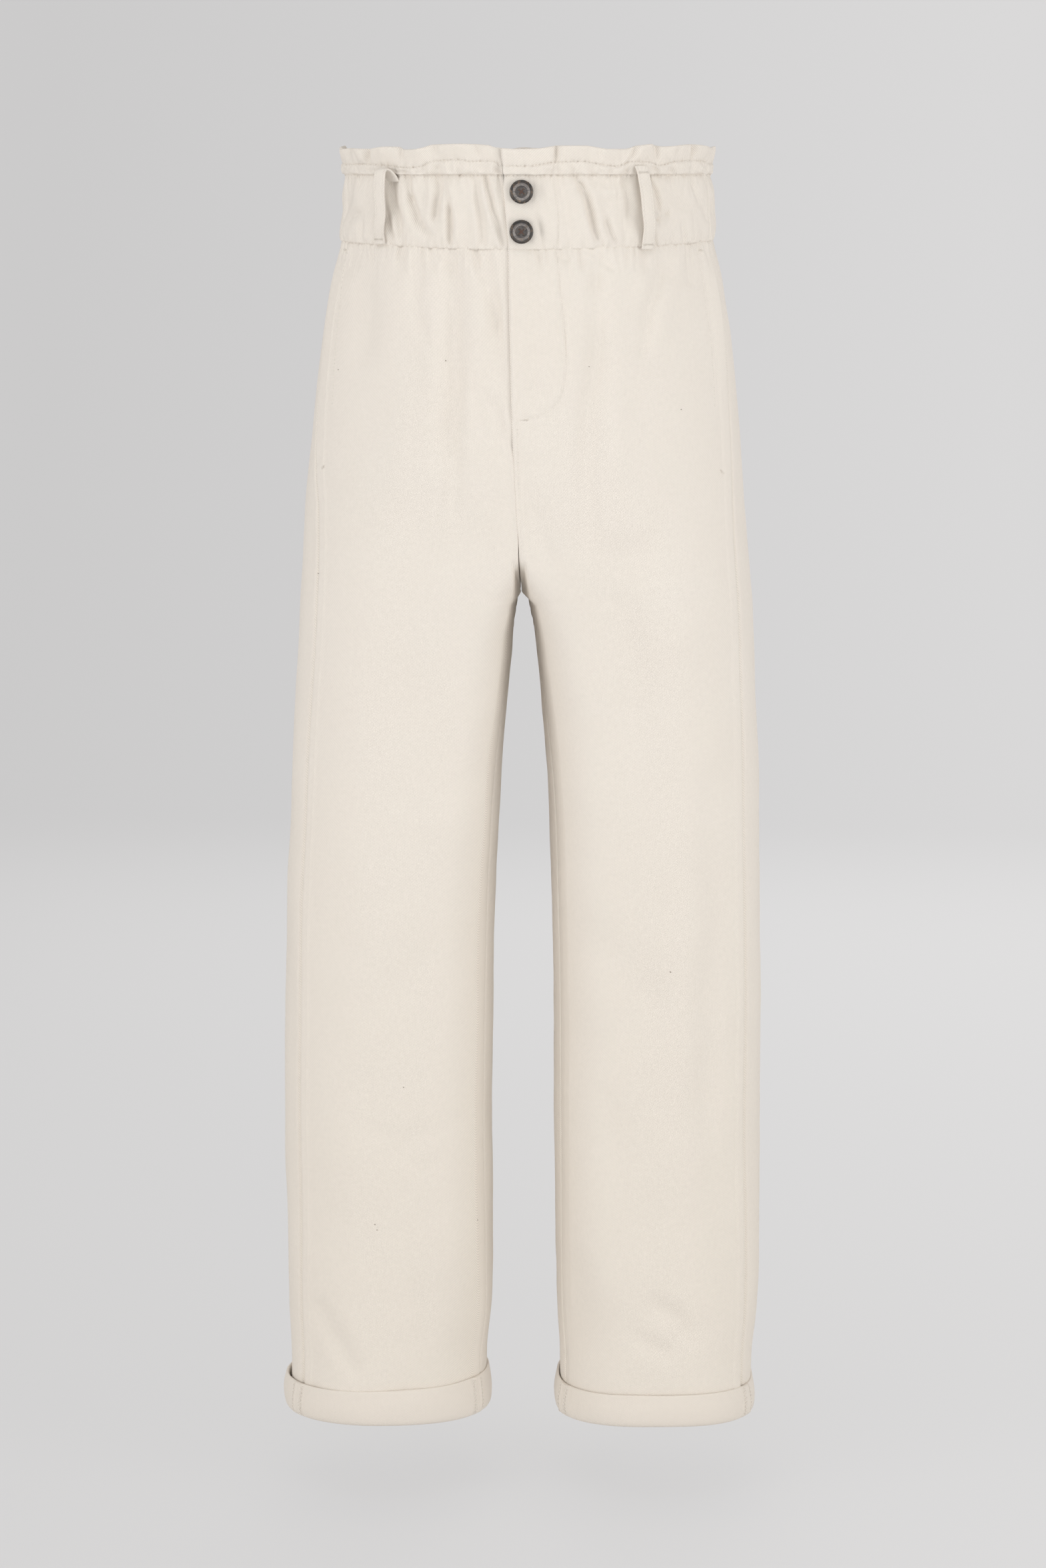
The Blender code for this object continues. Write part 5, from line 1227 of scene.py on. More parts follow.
# the frill's waves: across, how far it leans out and the wave's half width, in mm
FRONT_WAVES = (
    (-138, 1.4, 5.0), (-131, -2.0, 3.2), (-123, 2.0, 5.0), (-115.8, -2.4, 2.4), (-104, 1.9, 8.0),
    (-89, -1.6, 3.0), (-76, 1.3, 7.0), (-63.9, -0.9, 3.0), (-46, 1.9, 11.0), (-31.3, -1.0, 3.2),
    (-23, 0.8, 4.0), (4, 0.6, 12.0), (27, -1.6, 3.0), (40, 1.6, 9.0), (52.7, -0.8, 3.2), (62, 1.2, 7.0),
    (77, -1.8, 5.0), (91, 1.9, 6.0), (100.5, -1.8, 2.8), (113, 1.9, 8.0), (129.6, -2.6, 2.4),
    (137, 2.2, 5.0), (146, -0.6, 3.5),
)
# each length of the roll: where it starts and ends, and how full it is at each end
FRONT_ROLLS = (
    (-146, -117, 0.4, 0.7), (-115, -91, 0.5, 0.5), (-88, -64.5, 0.7, 1.0), (-62.5, -32, 0.7, 0.9),
    (-30.5, -18, 0.6, 0.4), (-15.5, 25, 0.9, 0.95), (27, 52, 0.35, 0.9), (53, 79, 0.85, 1.1),
    (80.5, 98, 0.5, 0.4), (99.5, 113, 0.6, 1.0), (114, 129, 0.9, 0.6), (130, 150, 1.0, 0.9),
)
BACK_CREASES, BACK_WAVES = 26, 18


def placket_at(height):
    """How far across the placket's stitch line lies at a height, in mm."""
    return float(np.interp(-height, [-z for z, _ in PLACKET_LINE], [x for _, x in PLACKET_LINE]))


def line_at(line, across):
    table = np.array(line, float)
    return flowing(table[:, 0], table[:, 1], across)


def waves_at(waves, across):
    return 1.3 * sum(lean * bell((across - place) / width) for place, lean, width in waves)


def rolls_at(rolls, across):
    """How full the roll is: it swells between its pinches and is flat at them."""
    full = np.zeros_like(across)
    for start, end, first, last in rolls:
        way = np.clip((across - start) / (end - start), 0.0, 1.0)
        shape = ease((across - start) / 5.0) * ease((end - across) / 3.5)
        full = np.maximum(full, shape * (first + (last - first) * way))
    return full


def uneven(count, seed):
    """`count` places between 0 and 1, unevenly spaced, each with a size near 1 and a turn from -1 to 1."""
    draw = np.random.default_rng(seed)
    steps = draw.uniform(0.6, 1.4, count + 1)
    places = np.cumsum(steps)[:-1] / steps.sum()
    return list(zip(places, draw.uniform(0.6, 1.35, count), draw.uniform(-1, 1, count)))


def beside(ahead, turn):
    """Level directions turned a quarter round: to the right where turn is 1, to the left where it is -1."""
    return turn * np.column_stack([ahead[:, 1], -ahead[:, 0]])


def turned_out(spots, turn):
    """The outward direction seen from above, for points in order round the waist."""
    return beside(unit(np.gradient(spots, axis=0)), turn)


def strip_grid(
    spots_at, turn, across, run, creases, folds, pinches, waves, rolls, seed, flat, lap, top, row, ends,
):
    """The swept strip: its points by section row and station, before it is closed into a mesh."""
    draw = np.random.default_rng(seed)
    fine = gathers(seed, run.min(), run.max(), 6.5, 36, 1.0)
    low_pucker = gathers(seed + 1, run.min(), run.max(), 3.9, 14, 1.5)
    high_pucker = gathers(seed + 2, run.min(), run.max(), 4.2, 13, 1.2)
    frill_pucker = gathers(seed + 3, run.min(), run.max(), 4.6, 9, 1.0)
    from_pinch = [
        (at, draw.uniform(8, 17), draw.uniform(0.8, 1.5), 1.5, draw.normal(0, 2.0)) for at in pinches
    ]
    nip = sum(bell((across - at) / 2.2) for at in pinches)
    full, lean = rolls_at(rolls, across) * (1 - 0.55 * np.minimum(nip, 1.0)), waves_at(waves, across)
    full = full * np.clip(1 + soft_noise(run, run, seed + 4, 9, 6, 30, 0.45), 0.15, 1.5)
    full = full * (0.3 + 0.7 * ease(ends / 14))
    clear = ease(ends / 5.0)  # the creases fade at the side seams, where the pieces meet
    dimple = np.cos(math.pi * run / PITCH) ** 4
    grid = np.zeros((len(STRIP), len(across), 3))
    for k, height in enumerate(SECTION["height"]):
        spots = spots_at(height * MM)
        normal = turned_out(spots, turn)
        here = np.full_like(across, height)
        outside = k < OUTSIDE
        out = SECTION["out"][k] * (1 - (1 - PLACKET_FLATNESS) * flat) + lean * SECTION["wave"][k]
        if outside:  # here and there the cloth runs straight from the band into the roll
            flush = ease(0.5 + soft_noise(run, run, seed + 8, 9, 14, 60, 0.9))
            out += 1.3 * flush * bell((height - 27.9) / 1.1)
        swell = 0.75 * SECTION["bulge"][k] * full * (1 - 0.35 * flat)
        out += swell - 0.5 * bell((height - ROLL_MIDDLE) / 2.6) * outside
        relief = 1.9 * dented(across, here, creases, 1.2) * SECTION["crease"][k] * (1 - 0.5 * flat)
        if outside and height < BAND_TOP:
            drop = LOWER_STITCHES - here
            rise = BAND_DEPTH - drop
            relief += pinched(high_pucker, run, drop) * (1 - 0.6 * flat)
            relief += pinched(low_pucker, run, rise) * (1 - 0.4 * flat)
            relief += (pinched(fine, run, drop) + pinched(fine[::2], run - 3, rise)) * (1 - flat)
            relief += pinched(from_pinch, across, drop)
            relief -= soft_noise(run, here, seed + 5, 12, 16, 44, 0.25)
        if ROLL_FOOT < height < ROLL_TOP:
            rolled = bell((height - ROLL_MIDDLE) / 3.0)
            relief += 1.3 * nip * rolled
            if outside:
                relief -= rolled * soft_noise(run, 2.0 * here, seed + 7, 14, 4.5, 16, 0.6)
        if height > FRILL_FOOT:
            relief += dented(across, here, folds) * (0.35 + 0.65 * ease((height - UPPER_STITCHES) / 6))
            if outside:
                relief += pinched(frill_pucker, run, here - FRILL_FOOT)
                relief -= soft_noise(run, here, seed + 6, 10, 12, 34, 0.16)
        relief = relief * clear
        if outside:
            at_row = max(bell((height - LOWER_STITCHES) / 0.9), bell((height - UPPER_STITCHES) / 0.9))
            relief += 0.65 * dimple * at_row
            out = out - 0.9 * bell(ends / 1.0)
        out = out - relief
        up = here + SECTION["droop"][k] * full + row * SECTION["row"][k] + top * SECTION["wave"][k]
        # the seam's stitches pull the lower edge into small scallops
        scallops = np.abs(np.sin(math.pi * run / PITCH + 0.4 * np.sin(run / 9)))
        up -= 0.65 * scallops * max(0.0, 1 - k / 3.0)
        out = (out + lap[0 if outside else 1]) * MM
        grid[k, :, :2] = spots + normal * out[:, None]
        grid[k, :, 2] = up * MM + seam_rise(spots[:, 0], height * MM)
    return grid


def strip_mesh(name, grid, u, material):
    """Closes the strip's section all round and caps its two ends."""
    rows, cols = grid.shape[:2]
    faces = [tuple(face) for face in quads(rows, cols, rows_meet=True)]
    faces += [tuple(i * cols for i in range(rows)), tuple(i * cols + cols - 1 for i in range(rows))[::-1]]
    uv = uv_grid(u, lengths(grid.mean(axis=1)))
    made = mesh_object(name, grid.reshape(-1, 3), faces, uv.reshape(-1, 2), material, 75)
    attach(made, "root")
    return made


# %% Carry the strip round the front
CASINGS = {}
for side, creases in ((-1, CREASES_RIGHT), (1, CREASES_LEFT)):
    word = word_of(side)
    start, end = (-LAP if side < 0 else EDGE), outline(side, 0.0)[2] - EDGE
    stations = np.linspace(start, end, 300)
    across = on_outline(side, stations, 0.0)[:, 0] / MM
    if side > 0:  # the placket lies on the other front, and its folded edge is soft
        flat = 1 - ease((stations - LAP) / (PLACKET - LAP))
        fade = 1 - ease((stations - LAP) / LAP_EASE)
        lap = (1.25 * fade - 0.8 * bell(stations / (0.8 * MM)), 2.0 * fade)
    else:
        flat = 1 - ease(stations / LAP_EASE)
        fade = 1 - ease(stations / LAP_EASE)
        lap = (-1.25 * fade, 0.1 * fade)

    def spots_at(height, side=side, stations=stations, end=end):
        place = np.where(stations <= 0, stations, stations * (outline(side, height)[2] - EDGE) / end)
        return on_outline(side, place, height)

    grid = strip_grid(
        spots_at, side, across, stations / MM, creases, FRILL_FOLDS, PINCHES, FRONT_WAVES, FRONT_ROLLS,
        SEEDS["casing_front"] + 10 * side, flat, lap, line_at(FRILL_LINE, across) - FRILL_EDGE,
        line_at(UPPER_ROW_LINE, across) - UPPER_STITCHES, (end - stations) / MM,
    )
    if side > 0:
        # the placket's stitch line presses a groove, and the doubled cloth beside it stands a little higher
        for k in range(1, OUTSIDE):
            line = placket_at(SECTION["height"][k])
            pressed = 0.5 * bell((across - line) / 0.9) - 0.35 * ease((line - across) / 1.5)
            normal = turned_out(grid[k, :, :2], side)
            grid[k, :, :2] -= normal * (pressed * MM)[:, None]
    made = strip_mesh(f"casing_front_{word}", grid, side * stations, TWILL)
    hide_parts(f"waistband_front_{word}")
    CASINGS[word] = (grid, made, stations / MM)
    print(made.name, "columns:", grid.shape[1], "height mm:", round(float(np.ptp(grid[..., 2])) / MM, 1))

# %% Carry it round the back, from the right side seam to the left one
ends = {side: (outline(side, 0.0)[2] + EDGE, outline(side, 0.0)[1][-1]) for side in (-1, 1)}
right, left = (ends[side][1] - ends[side][0] for side in (-1, 1))
total = right + left
stations = np.linspace(0.0, total, 600)


def back_spots(height):
    spots = np.zeros((len(stations), 2))
    for side, share, here in (
        (-1, stations / right, stations < right), (1, (total - stations) / left, stations >= right),
    ):
        _, along, seam = outline(side, height)
        spots[here] = on_outline(side, seam + EDGE + share[here] * (along[-1] - seam - EDGE), height)
    return spots


back_creases = []
for k, (place, size, turn) in enumerate(uneven(BACK_CREASES, 5)):
    x = place * total / MM
    first, last = ((27, -24), (26, -2), (4, -25))[k % 3]
    bend = 3.0 * turn
    back_creases.append((
        1.5 * size, 1.7 + 0.6 * abs(turn), (x, first), (x + bend, (first + last) / 2), (x + 1.4 * bend, last),
    ))
back_waves, back_rises, back_folds = [], [], []
for k, (place, size, turn) in enumerate(uneven(BACK_WAVES, 9)):
    x = place * total / MM
    back_waves.append((x, 1.5 * (1.3 if k % 2 else -1.0) * size, 8.0 if k % 2 else 4.5))
    back_rises.append((x, 1.5 * turn, 8.0))
    back_folds.append((1.3 * size, 1.5, (x + 6, 48), (x + 6 + 1.5 * turn, 34)))
pinches = [place * total / MM for place, _, _ in uneven(20, 13)]
edges = [0.0, *pinches[::2], total / MM]
back_rolls = [
    (a + 1.0, b - 1.0, 0.6 + 0.4 * (k % 2), 0.9 - 0.15 * (k % 3))
    for k, (a, b) in enumerate(zip(edges, edges[1:]))
]
across = stations / MM
at_sides = back_spots(0.0)
back_row = sum(
    1.6 * turn * bell((across - place * total / MM) / 12.0) for place, _, turn in uneven(15, 17)
) + 1.6
back_top = waves_at(back_rises, across) - 1.5 * ease(at_sides[:, 1] / 0.05)
grid = strip_grid(
    back_spots, -1, across, across, back_creases, back_folds, pinches, back_waves, back_rolls,
    SEEDS["casing_back"], np.zeros_like(across), (0.0, 0.0), back_top, back_row,
    np.minimum(across, across[-1] - across),
)
made = strip_mesh("casing_back", grid, -stations, TWILL)
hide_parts("waistband_back")
CASINGS["back"] = (grid, made, across)
print(made.name, "length mm:", round(total / MM), "triangles:", 2 * len(made.data.polygons))

# %% [markdown]
# ## Belt loops
#
# A belt loop is a strip folded in three and stitched along both edges, so it is stiffer than the cloth
# round it and bows away from the waist. One end is bartacked at the frill and the other is caught at the
# waist seam. The wearer's left front loop is tacked flat at its top, and the others arch over their own
# turned end.

# %% Loop paths and straps
# height, how far the strap's inner face stands off the body, and how far it shifts towards the front, in mm
LOOP_ARCHED = (
    (25.0, 1.2, 6.3), (27.6, 2.2, 6.6), (30.2, 4.2, 6.4), (31.6, 6.4, 5.6), (30.4, 8.6, 4.6),
    (26.2, 9.8, 3.0), (20.0, 10.2, 1.4), (12.0, 10.4, 0.5), (3.0, 10.3, 0.1), (-6.0, 9.7, 0.0),
    (-12.0, 8.4, 0.0), (-16.5, 6.4, 0.0), (-20.2, 4.0, 0.1), (-23.0, 2.4, 0.1), (-25.2, 1.3, 0.2),
    (-27.0, 0.5, 0.2),
)
LOOP_TURNED = (
    (22.5, 1.4, 15.6), (25.0, 2.4, 15.3), (28.0, 4.4, 14.4), (30.4, 6.6, 13.0), (31.0, 8.6, 11.6),
    (28.2, 9.8, 10.5), (22.5, 10.3, 9.8), (14.0, 10.5, 9.0), (5.0, 10.3, 8.6), (-4.0, 9.6, 8.0),
    (-11.0, 8.3, 7.1), (-16.0, 6.3, 6.0), (-19.8, 4.3, 5.1), (-22.6, 2.6, 4.6), (-24.8, 1.4, 4.3),
    (-26.4, 0.6, 4.2),
)
LOOP_TACKED = (
    (33.6, 3.4, 4.4), (31.4, 4.6, 3.9), (29.0, 5.2, 3.4), (25.0, 5.6, 3.0), (20.5, 6.8, 3.0),
    (14.0, 8.6, 3.2), (6.0, 9.8, 3.2), (-2.0, 9.9, 3.2), (-9.0, 9.2, 3.2), (-15.5, 7.4, 3.4),
    (-20.5, 5.0, 3.7), (-24.5, 2.9, 4.0), (-27.5, 1.5, 4.2), (-29.6, 0.4, 4.3),
)
LOOPS = (  # name, across, face, path
    ("belt_loop_front_right", -0.1095, "front", LOOP_TURNED),
    ("belt_loop_front_left", 0.0940, "front", LOOP_TACKED),
    ("belt_loop_back_right", -0.0880, "back", LOOP_ARCHED),
    ("belt_loop_back_left", 0.0940, "back", LOOP_ARCHED),
    ("belt_loop_back_centre", 0.0030, "back", LOOP_ARCHED),
)
# across and through the strap, in mm: soft edges and two sunk stitch lines
STRAP_SECTION = np.array((
    (-4.9, 1.5), (-4.4, 1.85), (-3.9, 1.75), (-3.55, 1.55), (-3.2, 1.8), (-1.8, 1.95), (0.0, 2.0),
    (1.8, 1.95), (3.2, 1.8), (3.55, 1.55), (3.9, 1.75), (4.4, 1.85), (4.9, 1.5), (5.25, 0.9), (4.9, 0.2),
    (3.6, 0.0), (0.0, 0.0), (-3.6, 0.0), (-4.9, 0.2), (-5.25, 0.9),
)) * MM


def loop_place(across, face):
    """Which half a loop stands on, and its distance along that half's outline as a share of its length."""
    side = 1 if across > float(read(BODY, "middle", 0.0)) - 1e-4 else -1
    points, along, _ = outline(side, 0.0)
    turn = int(np.argmax(side * points[:, 0]))
    if face == "front":
        return side, where_across(points, across, side) / along[-1]
    return side, float(np.interp(-side * across, -side * points[turn:, 0], along[turn:])) / along[-1]


def sweep_strap(name, centre, across, through, section, material, seed):
    """A strap: its section carried along a path of centre points, with soft unevenness along it."""
    rings = len(centre)
    draw = np.random.default_rng(seed)
    run = lengths(centre)
    wander = 0.25 * MM * np.sin(run / (9 * MM) + draw.uniform(0, 6)) + 0.15 * MM * np.sin(run / (4 * MM))
    crown = 1 + 0.10 * np.sin(run / (6 * MM) + draw.uniform(0, 6))
    points = (
        centre[:, None, :] + across[:, None, :] * (section[None, :, 0, None] + wander[:, None, None])
        + through[:, None, :] * (section[None, :, 1, None] * crown[:, None, None])
    )
    count = len(section)
    faces = [tuple(face) for face in quads(rings, count, cols_meet=True)]
    faces += [tuple(range(count)), tuple((rings - 1) * count + j for j in range(count))[::-1]]
    uv = uv_grid(lengths(section), -run)
    return mesh_object(name, points.reshape(-1, 3), faces, uv.reshape(-1, 2), material, 70), points


STRAP_RINGS = 72
STRAPS = {}
for k, (name, across, face, path) in enumerate(LOOPS):
    side, share = loop_place(across, face)
    rows = np.array(path)
    run = lengths(rows[:, :2])
    at = np.linspace(0, run[-1], STRAP_RINGS)
    height, off, shift = (flowing(run, rows[:, i], at) * MM for i in range(3))
    centre, outwards = [], []
    for h, o, s in zip(height, off, shift):
        length = outline(side, h)[1][-1]
        place = share * length - (s if face == "front" else 0.0)
        near = on_outline(side, place + np.array([-MM, 0.0, MM]), h)
        ahead = (near[2] - near[0]) / np.linalg.norm(near[2] - near[0])
        normal = side * np.array([ahead[1], -ahead[0]])
        centre.append((*(near[1] + normal * o), h + seam_rise(near[1][0], h)))
        outwards.append((*normal, 0.0))
    centre, outwards = np.array(centre), np.array(outwards)
    down = unit(np.gradient(np.column_stack([off, height]), axis=0))
    through = outwards * -down[:, 1:2] + np.array([0.0, 0.0, 1.0]) * down[:, 0:1]
    sideways = np.cross(outwards, (0.0, 0.0, 1.0))
    made, points = sweep_strap(
        "twill_" + name, centre, sideways, through, STRAP_SECTION, TWILL, SEEDS["loops"] + k,
    )
    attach(made, "root")
    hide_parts(name)
    STRAPS[name] = (made, points, through, sideways)
print("straps:", len(STRAPS), "of", round(float(run[-1]), 1), "mm")

# %% [markdown]
# ## The strips in the pocket mouths
#
# The pockets open in the side seams. Where the front's edge gapes, the strip behind it shows: it is sewn to
# the back at the seam and lies under the front, just clear of it.

# %% Pocket facings
FACINGS = {}
for side in (-1, 1):
    base = BASES[side, "front"]
    rows = np.where((PANEL_ROWS <= MOUTH_TOP * MM) & (PANEL_ROWS >= FLY_FLAT))[0][::2]
    deep = -folds_at(side, "front", base)
    normal = outward(base["points"], side)
    cols = [-15, -12, -9, -6, -3, -1]
    points, out, push = base["points"][rows][:, cols], normal[rows][:, cols], deep[rows][:, cols]
    seam = np.array([
        (*on_outline(side, np.array([outline(side, h)[2] - 0.2 * MM]), h)[0], h) for h in points[:, -1, 2]
    ])
    points = np.concatenate([points, ((points[:, -1] + seam) / 2)[:, None], seam[:, None]], axis=1)
    out = np.concatenate([out, out[:, -1:], out[:, -1:]], axis=1)
    push = np.concatenate([push, push[:, -1:], push[:, -1:]], axis=1)[..., None] - CLOTH - 0.5 * MM
    gape = read(MOUTHS, "out_" + word_of(side), points[:, -1, 2]) / 2.2
    push[:, 2:-1] -= 3.0 * MM * gape[:, None, None]
    u = side * tape(points, 1)
    v = -tape(points, 0)
    word = word_of(side)
    FACINGS[word] = shell(
        f"pocket_strip_{word}", points + out * push, points + out * (push - CLOTH), np.dstack([u, v]), TWILL,
    )
    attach(FACINGS[word], "root")
    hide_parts(f"pocket_facing_{word}")
print("pocket strips:", len(FACINGS))

# %% [markdown]
# ## Turned-up cuffs
#
# Each leg ends in a single turn-up: the tube is folded once outside itself, so its smoother wrong side
# shows, with the overlocked seam allowances standing up a little at the inseam and the side seam. The fold
# at the bottom is soft and round, and the upper edge is loose, so it gapes here and there.

# %% Cuffs
# how far out from the leg and how far up from the hem in mm, and the share of the edge's own line
CUFF_SECTION = (
    (-1.5, 0.7, 0), (-0.4, 0.2, 0), (0.8, 0.0, 0), (2.0, 0.3, 0), (3.1, 1.1, 0), (3.9, 2.6, 0),
    (4.4, 4.8, 0), (4.75, 8.0, 0.1), (4.85, 12.0, 0.25), (4.6, 16.0, 0.5), (4.05, 20.0, 0.8),
    (3.4, 23.6, 1), (2.95, 26.2, 1), (2.65, 27.7, 1), (2.1, 28.5, 1), (1.2, 28.5, 1), (0.7, 27.7, 1),
    (0.45, 25.0, 1), (0.6, 20.0, 0.7), (1.9, 14.0, 0.3), (1.7, 8.0, 0.1), (1.2, 4.0, 0), (0.7, 2.4, 0),
    (-0.4, 2.0, 0), (-1.5, 2.1, 0),
)
# drop of the whole cuff, extra drop of its upper edge, and how much higher the edge is at the inseam, in mm
CUFF_SET = {
    1: (0.5, 2.0, 0.0),
    -1: (-0.4, -0.7, 2.6),
}
CUFF_INSEAM = {1: 6.0 * MM, -1: 9.5 * MM}  # how far in from the leg's inner edge the turned-up inseam shows
ALLOWANCE = 10 * MM
CUFF_STATIONS = 320
CUFFS = {}


def way_round(stations, place, total):
    """How far each station lies from a place on a closed line, the shorter way round."""
    return np.abs((stations - place + total / 2) % total - total / 2)


for side in (-1, 1):
    word = word_of(side)
    points = half_loop(side, LEG_END)
    along = lengths(points)
    total = along[-1]
    middle, half = (points[:, 0].max() + points[:, 0].min()) / 2, np.ptp(points[:, 0]) / 2
    inseam = where_across(points, points[0, 0] + side * CUFF_INSEAM[side], side)
    outer = side * (np.max(side * points[:, 0]) - float(read(SEAM_LINES, "side_" + word, LEG_END)))
    side_seam = where_across(points, outer, side)
    stations = np.linspace(0, total, CUFF_STATIONS + 1)[:-1]
    spots = along_row(stations, along, points)
    normal = beside(unit(np.roll(spots, -1, axis=0) - np.roll(spots, 1, axis=0)), side)
    raised = np.zeros(len(stations))
    for seam in (inseam, side_seam):
        away = way_round(stations, seam, total)
        raised = np.maximum(raised, ease((ALLOWANCE / 2 - away) / (0.9 * MM) + 0.5))
        raised -= 0.4 * bell(away / (0.6 * MM))
    turn = math.tau * stations / total
    draw = np.random.default_rng(SEEDS["cuffs"] + side)
    gape, edge, belly = (
        sum(draw.normal(0, 1) * np.sin(k * turn + draw.uniform(0, 6)) / k**0.5 for k in counts)
        for counts in (range(2, 9), range(3, 12), range(4, 16))
    )
    drop, top_drop, tilt = CUFF_SET[side]
    inner_side = side * (middle - spots[:, 0]) / half
    grid = np.zeros((len(CUFF_SECTION), len(stations), 3))
    for k, (out, up, top) in enumerate(CUFF_SECTION):
        share = max(0.0, min((out - 1.5) / 3.0, 1.0))
        outs = out + 1.6 * raised * ease((out - 1.2) / 1.2) * ease(up / 3)
        outs = outs + 0.45 * gape * top * share + 0.16 * belly * share
        ups = HEM / MM + up - drop + (tilt * inner_side - top_drop + 0.35 * edge) * top
        ups = ups + 0.12 * gape * (1 - top)
        grid[k, :, :2] = spots + normal * outs[:, None] * MM
        grid[k, :, 2] = ups * MM
    faces = quads(*grid.shape[:2], rows_meet=True, cols_meet=True)
    uv = uv_grid(-side * stations, lengths(np.array(CUFF_SECTION)[:, :2]) * MM)
    made = mesh_object(f"turned_cuff_{word}", grid.reshape(-1, 3), faces, uv.reshape(-1, 2), WRONG_SIDE, 75)
    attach(made, "root")
    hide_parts(f"cuff_{word}")
    CUFFS[word] = (grid, made, stations, (inseam, side_seam), total)
    print(made.name, "round mm:", round(total / MM), "triangles:", 2 * len(made.data.polygons))

# %% [markdown]
# ## Horn buttons
#
# A four-hole button is turned on a lathe from a disc: a rounded rim, a sunk dish and a slightly domed back.
# It is made here the same way: a cylinder's front face is inset and pushed in twice, the edges are
# bevelled, and four holes are drilled through. The rim stays plain.

# %% Turn the button and drill it
BUTTON_TURNS = {"upper": math.radians(7), "lower": math.radians(-4)}
HOLE_RADIUS, HOLE_OFF = 1.08 * MM, 2.0 * MM


def turned_button(name):
    bpy.ops.object.select_all(action="DESELECT")
    bpy.ops.mesh.primitive_cylinder_add(vertices=72, radius=9.0 * MM, depth=3.0 * MM, end_fill_type="NGON")
    button = bpy.context.object
    button.name = name
    bpy.ops.object.mode_set(mode="EDIT")
    bpy.ops.mesh.select_all(action="DESELECT")
    bpy.ops.object.mode_set(mode="OBJECT")
    for face in button.data.polygons:
        face.select = face.normal.z > 0.9
    bpy.ops.object.mode_set(mode="EDIT")
    for inset, deeper in ((1.15, 0.0), (1.15, 0.0), (0.9, -0.55), (0.35, -0.35), (0.7, 0.0), (2.4, 0.12)):
        bpy.ops.mesh.inset(thickness=inset * MM, depth=deeper * MM)
    bpy.ops.mesh.select_all(action="DESELECT")
    bpy.ops.object.mode_set(mode="OBJECT")
    for vertex in button.data.vertices:
        away = math.hypot(vertex.co.x, vertex.co.y)
        if vertex.co.z < 0:
            vertex.co.z += 0.5 * MM * (away / (9 * MM)) ** 4
        elif away > 8.99 * MM:
            vertex.co.z -= 0.5 * MM
        elif 6.6 * MM < away < 6.75 * MM:
            vertex.co.z += 0.12 * MM
    bevel = button.modifiers.new("soft_edges", "BEVEL")
    bevel.width = 0.35 * MM
    bevel.segments = 3
    bevel.limit_method = "ANGLE"
    bevel.angle_limit = math.radians(28)
    bpy.ops.object.modifier_apply(modifier=bevel.name)
    for across, up in ((-1, -1), (1, -1), (1, 1), (-1, 1)):
        bpy.ops.object.select_all(action="DESELECT")
        bpy.ops.mesh.primitive_cylinder_add(
            vertices=20, radius=HOLE_RADIUS, depth=12 * MM, location=(across * HOLE_OFF, up * HOLE_OFF, 0.0),
        )
        drill = bpy.context.object
        hole = button.modifiers.new("hole", "BOOLEAN")
        hole.operation, hole.object, hole.solver = "DIFFERENCE", drill, "EXACT"
        bpy.ops.object.select_all(action="DESELECT")
        button.select_set(True)
        bpy.context.view_layer.objects.active = button
        bpy.ops.object.modifier_apply(modifier=hole.name)
        bpy.data.objects.remove(drill, do_unlink=True)
    bpy.ops.object.shade_smooth_by_angle(angle=math.radians(32))
    return button


def move_points(obj, matrix):
    """Moves the mesh itself, so that the object stays at the origin, unturned."""
    obj.data.transform(matrix)
    obj.data.update()


button_seats = {}
for word, angle in BUTTON_TURNS.items():
    low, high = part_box(f"button_{word}")
    across, back, height = (low[0] + high[0]) / 2, high[1], (low[2] + high[2]) / 2
    made = turned_button(f"horn_button_{word}")
    for material in (HORN_FACE, HORN_RIM, HORN_CENTRE):
        made.data.materials.append(material)
    for face in made.data.polygons:
        away = math.hypot(face.center.x, face.center.y)
        face.material_index = 1 if away > 6.6 * MM or face.normal.z < -0.5 else 0 if away > 4.7 * MM else 2
    turn = Matrix.Rotation(angle, 4, "Z")
    stand = Matrix.Translation((across, back - 1.5 * MM, height)) @ Matrix.Rotation(math.pi / 2, 4, "X")
    move_points(made, stand @ turn)
    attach(made, "root")
    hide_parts(f"button_{word}")
    button_seats[word] = (across, back, height, angle)
    print(made.name, "triangles:", sum(len(face.vertices) - 2 for face in made.data.polygons))

# %% [markdown]
# ## Stitches
#
# Thread shows as a row of short, fat dashes that sink into the cloth at both ends. Each dash is one small
# tapered capsule, and a whole row is one mesh. The gathering rows and the placket have between three and
# four stitches to the centimetre, as heavy twill is sewn. Bartacks are the dense little bars that lock the
# places which take a pull.

# %% Stitch helpers


def resample(path, pitch, *others):
    """Points every `pitch` along a path, the direction there, and other values at the same places."""
    run = lengths(path)
    at = np.arange(pitch / 2, run[-1], pitch)
    ahead = unit(along_row(at + 0.5 * MM, run, path) - along_row(at - 0.5 * MM, run, path))
    return along_row(at, run, path), ahead, *(along_row(at, run, other) for other in others)


